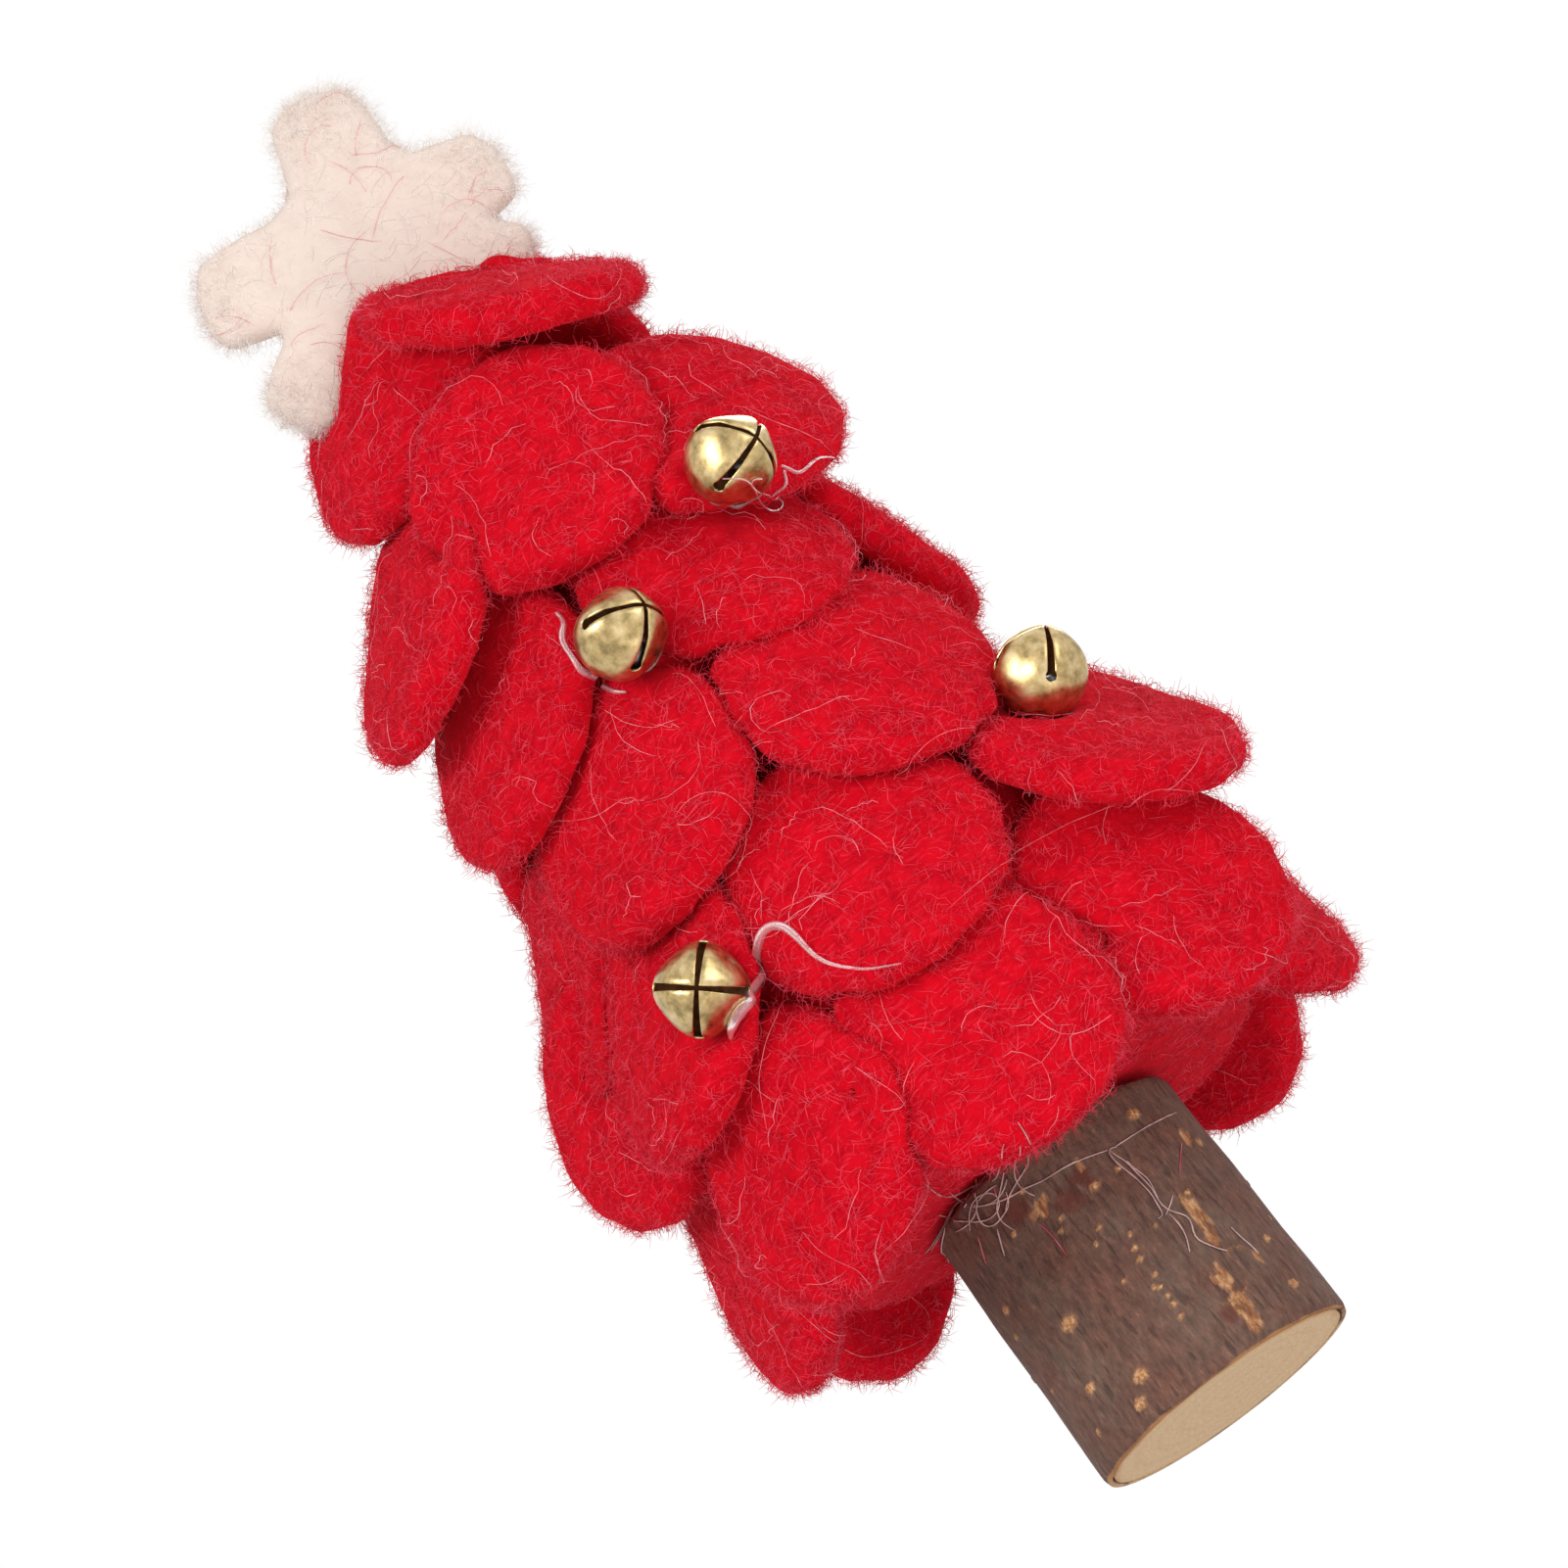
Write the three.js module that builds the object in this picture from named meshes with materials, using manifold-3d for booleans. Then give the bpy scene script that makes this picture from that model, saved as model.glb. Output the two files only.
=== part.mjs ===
import * as THREE from "three";
import { mergeVertices } from "three/addons/utils/BufferGeometryUtils.js";
import Module from "manifold-3d";

// Felt Christmas tree with a star, four jingle bells and a trunk cut from a branch.
// Millimetres, +Z up. The origin is the centre of the trunk's sawn foot, and the front faces -Y.

const wasm = await Module();
wasm.setup();

// Fits
const touchGap = 0.3;
const cutOverrun = 1;
const weldDistance = 0.0001;

// Trunk: a length of branch with its bark on, sawn square at both ends
const trunkHeight = 31;
const trunkFootRadius = 15.5;
const trunkTopRadius = 14.8;
const barkThickness = 0.7;

// Core: the felt base disc under the stuffed felt cone, and the hot glue that holds them together
const glueLayer = 0.8;
const trunkGlueRadius = 12.5;
const baseFeltRadius = 27.5;
const baseFeltThickness = 3;
const coneHeight = 107;
const coneFootRadius = 29.5;
const coneTipRadius = 8.5;
const coneTipRound = 2.5;

// Petals: round discs cut from thick wool felt
const petalRadius = 14.8;
const feltThickness = 3;
const petalEdgeRound = 0.9;

// Star: cut from thicker cream felt
const starRadius = 19.5;
const starThickness = 3.6;
const starEdgeRound = 0.8;
const starForward = -1.2;

// Jingle bells: pressed brass shells with a cross slot, a wire eye and a loose pellet
const bellRadius = 5;
const bellWall = 0.45;
const bellMouthPoint = 0.35;
const slotWidth = 0.75;
const slotEndWidth = 1.1;
const slotStop = 0.6;
const eyeRadius = 1.2;
const eyeWire = 0.7;
const eyeLeg = 0.2;
const pelletRadius = 1.8;
const bellSink = 1;
const dabRadius = 3.6;
const dabThickness = 3.2;

// Places that follow from the sizes above
const trunkGlueZ = trunkHeight + touchGap;
const baseFeltZ = trunkGlueZ + glueLayer + touchGap;
const coneZ = baseFeltZ + baseFeltThickness + touchGap;
const coneTaper = (coneFootRadius - coneTipRadius) / coneHeight;
const coneLean = Math.atan(coneTaper);

const felt = { color: 0xd4152c, roughness: 0.95, metalness: 0 };
const creamFelt = { color: 0xe9dfd6, roughness: 0.95, metalness: 0 };
const bark = { color: 0x5f4a40, roughness: 0.85, metalness: 0 };
const wood = { color: 0xcda982, roughness: 0.7, metalness: 0 };
const glue = { color: 0xe8dcdc, roughness: 0.35, metalness: 0 };
const brass = { color: 0xc8b46e, roughness: 0.28, metalness: 1 };
const steel = { color: 0x9a9a98, roughness: 0.4, metalness: 1 };

const tree = new THREE.Group();

const degrees = (angle) => THREE.MathUtils.degToRad(angle);

// Solids for cutting and joining
function solidOf(geometry) {
  const bare = new THREE.BufferGeometry();
  bare.setAttribute("position", geometry.getAttribute("position").clone());
  if (geometry.index) bare.setIndex(geometry.index.clone());
  const merged = mergeVertices(bare, weldDistance);
  return new wasm.Manifold(
    new wasm.Mesh({
      numProp: 3,
      vertProperties: merged.getAttribute("position").array,
      triVerts: new Uint32Array(merged.index.array),
    }),
  );
}

function geometryOf(solid) {
  const mesh = solid.getMesh();
  const geometry = new THREE.BufferGeometry();
  geometry.setAttribute("position", new THREE.BufferAttribute(mesh.vertProperties, mesh.numProp));
  geometry.setIndex(new THREE.BufferAttribute(mesh.triVerts, 1));
  return geometry;
}

// The main body of a cut piece, without the crumbs that a cut leaves beside it
function mainBody(solid) {
  return solid.decompose().reduce((best, body) => (body.volume() > best.volume() ? body : best));
}

function addPiece(name, solid, finish) {
  const geometry = geometryOf(mainBody(solid));
  geometry.computeVertexNormals();
  const mesh = new THREE.Mesh(geometry, new THREE.MeshStandardMaterial(finish));
  mesh.name = name;
  tree.add(mesh);
}

// A turned shape around +Z from points (radius, height), listed from the lower end on the axis
function turned(points, segments) {
  const profile = points.map(([radius, height]) => new THREE.Vector2(radius, height));
  return new THREE.LatheGeometry(profile, segments).rotateX(Math.PI / 2).rotateZ(Math.PI);
}

// Trunk
const trunkSegments = 28;

function trunkRadiusAt(share) {
  return THREE.MathUtils.lerp(trunkFootRadius, trunkTopRadius, share);
}

function makeTrunk() {
  const coreFoot = trunkRadiusAt(0) - barkThickness;
  const coreTop = trunkRadiusAt(1) - barkThickness;
  const core = turned(
    [[0, 0], [coreFoot - touchGap, 0], [coreTop - touchGap, trunkHeight], [0, trunkHeight]],
    trunkSegments,
  );
  addPiece("trunk_wood", solidOf(core), wood);

  const skin = turned(
    [
      [coreFoot, 0],
      [trunkRadiusAt(0), 0],
      [trunkRadiusAt(1), trunkHeight],
      [coreTop, trunkHeight],
      [coreFoot, 0],
    ],
    trunkSegments,
  );
  addPiece("trunk_bark", solidOf(skin), bark);

  const pad = turned(
    [
      [0, trunkGlueZ],
      [trunkGlueRadius, trunkGlueZ],
      [trunkGlueRadius, trunkGlueZ + glueLayer],
      [0, trunkGlueZ + glueLayer],
    ],
    trunkSegments,
  );
  addPiece("trunk_glue", solidOf(pad), glue);
}

// Core
const coneSegments = 32;

function coneRadiusAt(height) {
  return coneFootRadius - (height - coneZ) * coneTaper;
}

function coneSolid(grown) {
  const top = coneZ + coneHeight;
  return solidOf(
    turned(
      [
        [0, coneZ - grown],
        [coneFootRadius + grown, coneZ - grown],
        [coneTipRadius + grown, top - coneTipRound],
        [coneTipRadius - coneTipRound + grown, top + grown],
        [0, top + grown],
      ],
      coneSegments,
    ),
  );
}

function makeCore() {
  const baseTop = baseFeltZ + baseFeltThickness;
  const base = turned(
    [
      [0, baseFeltZ],
      [baseFeltRadius - petalEdgeRound, baseFeltZ],
      [baseFeltRadius, baseFeltZ + petalEdgeRound],
      [baseFeltRadius, baseTop - petalEdgeRound],
      [baseFeltRadius - petalEdgeRound, baseTop],
      [0, baseTop],
    ],
    coneSegments,
  );
  addPiece("base_felt", solidOf(base), felt);
  addPiece("core_cone", coneSolid(0), felt);
}

// Star: five blunt hand-cut tips and the valleys after them, as angles and shares of the star's
// radius. Each tip is two points of the outline, a half angle to either side of its middle.
const starTips = [
  { angle: 77, tipShare: 0.99, halfAngle: 13, valleyAngle: 113, valleyShare: 0.56 },
  { angle: 161, tipShare: 1.0, halfAngle: 14, valleyAngle: 186, valleyShare: 0.64 },
  { angle: 213, tipShare: 1.06, halfAngle: 12, valleyAngle: 267, valleyShare: 0.62 },
  { angle: 320, tipShare: 0.92, halfAngle: 10, valleyAngle: 337, valleyShare: 0.7 },
  { angle: 358, tipShare: 0.9, halfAngle: 13, valleyAngle: 397, valleyShare: 0.6 },
];
const starBottomShare = 0.79;
const starCentreX = 0.4;
const starCentreZ = coneZ + coneHeight + touchGap + glueLayer + starRadius * starBottomShare;
const starSteps = 40;

function starPoint(angle, share, grown) {
  const radius = starRadius * share + grown;
  return new THREE.Vector3(radius * Math.cos(degrees(angle)), radius * Math.sin(degrees(angle)), 0);
}

function starShape(grown) {
  const points = starTips.flatMap((tip) => [
    starPoint(tip.angle - tip.halfAngle, tip.tipShare, grown),
    starPoint(tip.angle + tip.halfAngle, tip.tipShare, grown),
    starPoint(tip.valleyAngle, tip.valleyShare, grown),
  ]);
  const outline = new THREE.CatmullRomCurve3(points, true, "centripetal").getPoints(starSteps);
  outline.pop();
  return new THREE.Shape(outline.map((point) => new THREE.Vector2(point.x, point.y)));
}

function starSolid(grown) {
  const slab = new THREE.ExtrudeGeometry(starShape(grown), {
    depth: starThickness + 2 * grown - 2 * starEdgeRound,
    bevelThickness: starEdgeRound,
    bevelSize: starEdgeRound,
    bevelOffset: -starEdgeRound,
    bevelSegments: 1,
  });
  slab.translate(0, 0, starEdgeRound - starThickness / 2 - grown);
  slab.rotateX(Math.PI / 2);
  slab.translate(starCentreX, starForward, starCentreZ);
  return solidOf(slab);
}

// The glue between the cone's top and the foot of the star
function starGlueSolid(grown) {
  const foot = coneZ + coneHeight + touchGap - grown;
  const top = coneZ + coneHeight + touchGap + glueLayer + grown;
  const rim = coneTipRadius + grown;
  return solidOf(turned([[0, foot], [rim, foot], [rim, top], [0, top]], trunkSegments / 2));
}

function makeStar() {
  addPiece("star", starSolid(0), creamFelt);
  addPiece("star_glue", starGlueSolid(0).subtract(starSolid(touchGap)), glue);
}

// Petal rows from the skirt to the tip. A row's height is a share of the cone's height, at the discs'
// middles. Each disc has the azimuth of its middle (0 at the front, + to the right), a shift up
// the slope as a share of its radius, a lean outwards from the cone, a twist that lifts one side,
// the curl of its lower edge, a lift in felt thicknesses, and its bend radius as a share of the row's.
const petalRows = [
  {
    heightShare: 0.062,
    discs: [
      { azimuth: -20, shiftShare: 0.52, lean: 4, twist: 0, curl: 0, liftShare: -0.7, bendShare: 1.1 },
      { azimuth: 33, shiftShare: 0.72, lean: 4, twist: 0, curl: 0, liftShare: -0.7, bendShare: 1.1 },
      { azimuth: -86, shiftShare: -0.06, lean: 2, twist: 22, curl: -6, liftShare: 0.4, bendShare: 1.6 },
      { azimuth: 4, shiftShare: -0.16, lean: 0, twist: 0, curl: 0, liftShare: 0.5, bendShare: 1.2 },
      { azimuth: 95, shiftShare: -0.04, lean: 2, twist: -28, curl: 0, liftShare: 0.9, bendShare: 1.6 },
      { azimuth: 182, shiftShare: 0.03, lean: 2, twist: -4, curl: 3, liftShare: 0, bendShare: 1.3 },
      { azimuth: -37, shiftShare: -0.12, lean: 0, twist: 0, curl: 2, liftShare: 0.8, bendShare: 1.3 },
      { azimuth: 53, shiftShare: 0, lean: 0, twist: -24, curl: 0, liftShare: 1.1, bendShare: 1.8 },
      { azimuth: 138, shiftShare: -0.05, lean: 0, twist: 0, curl: 0, liftShare: 0.9, bendShare: 1.3 },
      { azimuth: 228, shiftShare: -0.03, lean: 2, twist: 2, curl: 0, liftShare: 0.9, bendShare: 1.3 },
    ],
  },
  {
    heightShare: 0.236,
    discs: [
      { azimuth: 6, shiftShare: 0, lean: 8, twist: 0, curl: 2, liftShare: 0.2, bendShare: 1.2 },
      { azimuth: -90, shiftShare: 0.08, lean: 8, twist: 46, curl: 0, liftShare: 1.8, bendShare: 2.4 },
      { azimuth: 112, shiftShare: 0.06, lean: 9, twist: 0, curl: 4, liftShare: -0.1, bendShare: 1.3 },
      { azimuth: 212, shiftShare: 0.05, lean: 10, twist: 4, curl: 4, liftShare: 0, bendShare: 1.3 },
      { azimuth: -48, shiftShare: 0.02, lean: 14, twist: 2, curl: 2, liftShare: 0.3, bendShare: 1.3 },
      { azimuth: 66, shiftShare: -0.22, lean: 21, twist: -14, curl: 4, liftShare: 1.2, bendShare: 1.8 },
      { azimuth: 160, shiftShare: -0.02, lean: 9, twist: 0, curl: 6, liftShare: 0.9, bendShare: 1.3 },
    ],
  },
  {
    heightShare: 0.402,
    discs: [
      { azimuth: -29, shiftShare: 0.2, lean: 11, twist: 2, curl: 2, liftShare: 0.4, bendShare: 1.2 },
      { azimuth: 94, shiftShare: 0.1, lean: 6, twist: 0, curl: 3, liftShare: 0, bendShare: 1.3 },
      { azimuth: 208, shiftShare: 0.02, lean: 9, twist: 0, curl: 4, liftShare: 0, bendShare: 1.3 },
      { azimuth: 35, shiftShare: 0.04, lean: 8, twist: -2, curl: 4, liftShare: 0.8, bendShare: 1.3 },
      { azimuth: 150, shiftShare: 0, lean: 8, twist: 2, curl: 5, liftShare: 0.8, bendShare: 1.3 },
      { azimuth: -92, shiftShare: -0.2, lean: 12, twist: 30, curl: 0, liftShare: 1, bendShare: 2 },
    ],
  },
  {
    heightShare: 0.587,
    discs: [
      { azimuth: 30, shiftShare: 0.14, lean: 8, twist: 0, curl: 4, liftShare: 0.2, bendShare: 1.2 },
      { azimuth: 170, shiftShare: 0, lean: 9, twist: 0, curl: 4, liftShare: 0.2, bendShare: 1.3 },
      { azimuth: -58, shiftShare: 0.1, lean: 14, twist: 14, curl: 4, liftShare: 0.45, bendShare: 1.8 },
      { azimuth: 103, shiftShare: 0.03, lean: 8, twist: 0, curl: 4, liftShare: 1, bendShare: 1.4 },
      { azimuth: 237, shiftShare: 0.02, lean: 10, twist: 0, curl: 5, liftShare: 1, bendShare: 1.4 },
    ],
  },
  {
    heightShare: 0.785,
    discs: [
      { azimuth: 3, shiftShare: 0.02, lean: 9, twist: 0, curl: 0, liftShare: 0.8, bendShare: 1.6 },
      { azimuth: 214, shiftShare: 0, lean: 16, twist: 4, curl: 6, liftShare: 0.2, bendShare: 1.5 },
      { azimuth: -66, shiftShare: -0.35, lean: 22, twist: 14, curl: 4, liftShare: 0.7, bendShare: 2.4 },
      { azimuth: 65, shiftShare: -0.4, lean: 16, twist: -28, curl: 0, liftShare: 1.3, bendShare: 2.4 },
      { azimuth: 140, shiftShare: -0.02, lean: 15, twist: -3, curl: 6, liftShare: 1, bendShare: 1.6 },
    ],
  },
  {
    heightShare: 0.97,
    discs: [
      { azimuth: -56, shiftShare: 0, lean: 18, twist: 26, curl: 0, liftShare: -1.1, bendShare: 1.5 },
      { azimuth: 140, shiftShare: 0, lean: 26, twist: 0, curl: 4, liftShare: -2, bendShare: 2 },
      { azimuth: 226, shiftShare: -0.1, lean: 14, twist: 0, curl: 4, liftShare: -2, bendShare: 1.8 },
      { azimuth: 48, shiftShare: -0.04, lean: 38, twist: 0, curl: 0, liftShare: -2.2, bendShare: 2.4 },
    ],
  },
];
const petalSegments = 14;

// The frame of a disc: its origin on the cone at the disc's middle, and its axes along the
// circumference, up the slope and out of the surface
function petalFrame(row, disc) {
  const height = coneZ + coneHeight * row.heightShare + petalRadius * disc.shiftShare;
  const radius = coneRadiusAt(height);
  const turn = degrees(disc.azimuth);
  const along = new THREE.Vector3(Math.cos(turn), Math.sin(turn), 0);
  const outward = new THREE.Vector3(Math.sin(turn), -Math.cos(turn), 0);
  const up = new THREE.Vector3(0, 0, 1);
  const slope = up.clone().multiplyScalar(Math.cos(coneLean)).addScaledVector(outward, -Math.sin(coneLean));
  const normal = up.clone().multiplyScalar(Math.sin(coneLean)).addScaledVector(outward, Math.cos(coneLean));
  const frame = new THREE.Matrix4().makeBasis(along, slope, normal);
  return frame.setPosition(outward.x * radius, outward.y * radius, height);
}

// Where a point of the flat disc ends up once the disc is leaned, curled, bent and twisted.
// flat.x runs along the circumference, flat.y up the slope, and flat.z through the felt.
function bentPoint(flat, row, disc) {
  const height = coneZ + coneHeight * row.heightShare;
  const middle = coneRadiusAt(height) + feltThickness + petalRadius * Math.sin(degrees(disc.lean));
  const bend = middle * disc.bendShare;
  const down = petalRadius - flat.y;
  const curl = degrees(disc.curl) / (2 * petalRadius);
  const lean = degrees(disc.lean);
  const angle = lean + curl * down;
  const run = curl === 0 ? down * Math.cos(lean) : (Math.sin(angle) - Math.sin(lean)) / curl;
  const rise = curl === 0 ? down * Math.sin(lean) : (Math.cos(lean) - Math.cos(angle)) / curl;
  const around = flat.x / bend;
  const lift = touchGap + feltThickness * (0.5 + disc.liftShare);
  const through = flat.z * Math.cos(angle);
  const point = new THREE.Vector3(
    (bend + through) * Math.sin(around),
    petalRadius - run + flat.z * Math.sin(angle),
    lift + rise + (bend + through) * Math.cos(around) - bend,
  );
  return point.applyAxisAngle(new THREE.Vector3(0, 1, 0), degrees(disc.twist));
}

function petalSolid(row, disc, grown) {
  const half = feltThickness / 2 + grown;
  const rim = petalRadius + grown;
  const geometry = turned(
    [
      [0, -half],
      [rim / 2, -half],
      [rim - petalEdgeRound, -half],
      [rim, petalEdgeRound - half],
      [rim, half - petalEdgeRound],
      [rim - petalEdgeRound, half],
      [rim / 2, half],
      [0, half],
    ],
    petalSegments,
  );
  const points = geometry.getAttribute("position");
  const flat = new THREE.Vector3();
  const frame = petalFrame(row, disc);
  for (let i = 0; i < points.count; i += 1) {
    const bent = bentPoint(flat.fromBufferAttribute(points, i), row, disc).applyMatrix4(frame);
    points.setXYZ(i, bent.x, bent.y, bent.z);
  }
  return solidOf(geometry);
}

// Bells, each seated on a petal: the row and the disc that carry it, its seat on that disc as shares
// of the disc's radius, the way its mouth points, seen across, up and out of the felt there, and how
// far it is turned about that way
const bells = [
  { name: "a", row: 4, disc: 3, acrossShare: -0.58, upShare: -0.86, mouth: [0.24, -0.6, 0.76], spin: 17 },
  { name: "b", row: 3, disc: 0, acrossShare: -1, upShare: -0.42, mouth: [0.75, -0.33, 0.57], spin: 63 },
  { name: "c", row: 1, disc: 5, acrossShare: -0.22, upShare: 0.42, mouth: [0.14, 0.11, 0.98], spin: 29 },
  { name: "d", row: 1, disc: 4, acrossShare: 0.78, upShare: -0.38, mouth: [0.47, -0.52, 0.71], spin: 27 },
];
const bellSegments = 16;

// The bell's seat and centre, and a turn that takes X across, Y up and Z out of the felt under it
function bellSeat(bell) {
  const row = petalRows[bell.row];
  const disc = row.discs[bell.disc];
  const frame = petalFrame(row, disc);
  const flat = new THREE.Vector3(bell.acrossShare, bell.upShare, 0).multiplyScalar(petalRadius);
  flat.z = feltThickness / 2;
  const seat = bentPoint(flat, row, disc).applyMatrix4(frame);
  const wayTo = (x, z) => {
    const end = new THREE.Vector3(flat.x + x, flat.y, flat.z + z);
    return bentPoint(end, row, disc).applyMatrix4(frame).sub(seat).normalize();
  };
  const out = wayTo(0, petalRadius);
  const up = out.clone().cross(wayTo(petalEdgeRound, 0)).normalize();
  const turn = new THREE.Matrix4().makeBasis(up.clone().cross(out), up, out);
  const centre = seat.clone().addScaledVector(out, bellRadius - bellSink);
  return { seat, out, centre, turn: new THREE.Quaternion().setFromRotationMatrix(turn) };
}

// A bell is built mouth down about its centre, then its -Z is turned to its mouth's way
function bellTurn(bell) {
  const mouth = new THREE.Vector3(...bell.mouth).normalize();
  const toMouth = new THREE.Quaternion().setFromUnitVectors(new THREE.Vector3(0, 0, -1), mouth);
  const spin = new THREE.Quaternion().setFromAxisAngle(new THREE.Vector3(0, 0, 1), degrees(bell.spin));
  return bellSeat(bell).turn.multiply(toMouth).multiply(spin);
}

function placed(geometry, bell) {
  const { centre } = bellSeat(bell);
  return solidOf(geometry.applyQuaternion(bellTurn(bell)).translate(centre.x, centre.y, centre.z));
}

// A ball's profile from its mouth to its crown; the mouth's lobes come to a low point
function ballProfile(radius) {
  const steps = 7;
  return Array.from({ length: steps + 1 }, (_, i) => {
    const angle = (i / steps) * Math.PI - Math.PI / 2;
    const mouthPull = bellMouthPoint * Math.max(0, -Math.sin(angle)) ** 6;
    return [radius * Math.max(0, Math.cos(angle)), radius * Math.sin(angle) - mouthPull];
  });
}

function ball(radius) {
  const profile = ballProfile(radius);
  profile[0][0] = 0;
  profile[profile.length - 1][0] = 0;
  return turned(profile, bellSegments);
}

function slotSolid() {
  const long = 2 * (bellRadius + cutOverrun);
  const deep = bellRadius + bellMouthPoint + cutOverrun - slotStop;
  const cuts = [0, Math.PI / 2].flatMap((turn) => {
    const slit = new THREE.BoxGeometry(long, slotWidth, deep).translate(0, 0, -slotStop - deep / 2);
    const end = new THREE.CylinderGeometry(slotEndWidth / 2, slotEndWidth / 2, long, 6);
    end.rotateZ(Math.PI / 2).translate(0, 0, -slotStop);
    return [solidOf(slit.rotateZ(turn)), solidOf(end.rotateZ(turn))];
  });
  return cuts.reduce((all, cut) => all.add(cut));
}

// The wire eye stands on the crown, two legs and a half ring
function eyeGeometry() {
  const foot = bellRadius + touchGap;
  const path = new THREE.CurvePath();
  const corner = (x, z) => new THREE.Vector3(x, 0, z);
  path.add(new THREE.LineCurve3(corner(-eyeRadius, foot), corner(-eyeRadius, foot + eyeLeg)));
  const half = 6;
  for (let i = 0; i < half; i += 1) {
    const [from, to] = [i, i + 1].map((step) => Math.PI - (step / half) * Math.PI);
    path.add(
      new THREE.LineCurve3(
        corner(eyeRadius * Math.cos(from), foot + eyeLeg + eyeRadius * Math.sin(from)),
        corner(eyeRadius * Math.cos(to), foot + eyeLeg + eyeRadius * Math.sin(to)),
      ),
    );
  }
  path.add(new THREE.LineCurve3(corner(eyeRadius, foot + eyeLeg), corner(eyeRadius, foot)));
  const section = new THREE.Shape().absarc(0, 0, eyeWire / 2, 0, 2 * Math.PI);
  return new THREE.ExtrudeGeometry(section, { steps: 10, curveSegments: 3, extrudePath: path });
}

// The room that a bell and its eye take up in the felt and the glue behind it
function bellRoom(bell) {
  const body = ball(bellRadius + touchGap);
  const wide = eyeWire / 2 + touchGap;
  const tall = bellRadius + touchGap + eyeLeg + eyeRadius + wide;
  const eyeBlock = new THREE.BoxGeometry(2 * (eyeRadius + wide), 2 * wide, tall).translate(0, 0, tall / 2);
  return placed(body, bell).add(placed(eyeBlock, bell));
}

function dabSolid(bell, grown) {
  const { seat, turn } = bellSeat(bell);
  const blob = new THREE.IcosahedronGeometry(1, 1);
  blob.scale(dabRadius + grown, dabRadius + grown, dabThickness / 2 + grown);
  return solidOf(blob.applyQuaternion(turn).translate(seat.x, seat.y, seat.z));
}

function makeBell(bell) {
  const shell = placed(ball(bellRadius), bell).subtract(placed(ball(bellRadius - bellWall), bell));
  const slots = slotSolid();
  const slotGeometry = geometryOf(slots);
  addPiece(`bell_${bell.name}_shell`, shell.subtract(placed(slotGeometry, bell)), brass);
  addPiece(`bell_${bell.name}_eye`, placed(eyeGeometry(), bell), brass);
  const { centre } = bellSeat(bell);
  const drop = bellRadius - bellWall - pelletRadius - touchGap;
  const pellet = new THREE.IcosahedronGeometry(pelletRadius, 1);
  addPiece(
    `bell_${bell.name}_pellet`,
    solidOf(pellet.translate(centre.x, centre.y, centre.z - drop)),
    steel,
  );
  addPiece(`bell_${bell.name}_glue`, dabSolid(bell, 0).subtract(bellRoom(bell)), glue);
}

// Petals are laid from the skirt up, as on the real tree. Each gives way to the cone, to the star,
// to the bells and to the discs that were laid before it.
function makePetals() {
  const cutters = [coneSolid(touchGap), starSolid(touchGap), starGlueSolid(touchGap)];
  bells.forEach((bell) => cutters.push(bellRoom(bell), dabSolid(bell, touchGap)));
  petalRows.forEach((row, rowIndex) => {
    row.discs.forEach((disc, discIndex) => {
      const petal = cutters.reduce((rest, cutter) => rest.subtract(cutter), petalSolid(row, disc, 0));
      addPiece(`petal_${rowIndex + 1}_${discIndex + 1}`, petal, felt);
      cutters.push(petalSolid(row, disc, touchGap));
    });
  });
}

makeTrunk();
makeCore();
makeStar();
bells.forEach(makeBell);
makePetals();

export default tree;
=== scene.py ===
import math
import random

import bmesh
import bpy
import numpy as np
from mathutils import Matrix, Quaternion, Vector, noise
from mathutils.bvhtree import BVHTree


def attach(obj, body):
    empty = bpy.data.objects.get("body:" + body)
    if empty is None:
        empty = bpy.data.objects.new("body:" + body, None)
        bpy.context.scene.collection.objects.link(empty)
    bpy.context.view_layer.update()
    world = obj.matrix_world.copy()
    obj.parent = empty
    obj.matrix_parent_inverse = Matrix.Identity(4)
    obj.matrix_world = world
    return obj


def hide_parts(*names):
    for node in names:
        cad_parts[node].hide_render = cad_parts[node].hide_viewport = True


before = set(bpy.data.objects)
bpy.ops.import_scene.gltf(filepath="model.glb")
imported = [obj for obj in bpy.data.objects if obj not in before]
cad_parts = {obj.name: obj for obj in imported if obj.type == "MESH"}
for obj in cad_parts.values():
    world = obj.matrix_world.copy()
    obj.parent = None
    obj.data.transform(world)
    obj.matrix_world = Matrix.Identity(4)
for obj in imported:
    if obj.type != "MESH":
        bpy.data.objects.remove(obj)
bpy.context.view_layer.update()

# The view. The photograph looks at the tree's front from about 0.7 m away and a little from below,
# so that the sawn foot of the trunk shows. The tree lies slantwise in it, so the camera is rolled.
view_tilt = math.radians(16.4)
view_roll = math.radians(37)
view_distance = 0.7
view_aim = Vector((0.0015, 0, 0.082))
view_right = Vector((1, 0, 0))
view_up = Vector((0, -math.sin(view_tilt), math.cos(view_tilt)))
view_toward = Vector((0, -math.cos(view_tilt), -math.sin(view_tilt)))
view_place = view_aim + view_distance * view_toward
picture_right = math.cos(view_roll) * view_right - math.sin(view_roll) * view_up
picture_up = math.sin(view_roll) * view_right + math.cos(view_roll) * view_up
scene = bpy.context.scene
camera = bpy.data.objects.new("camera", bpy.data.cameras.new("camera"))
camera.data.lens = 149.5
camera.data.sensor_width = 36
camera.data.clip_start = 0.01
camera.data.clip_end = 20
facing = Matrix((picture_right, picture_up, view_toward)).transposed().to_4x4()
camera.matrix_world = Matrix.Translation(view_place) @ facing
scene.collection.objects.link(camera)
scene.camera = camera
scene.view_settings.view_transform = "Standard"


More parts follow.
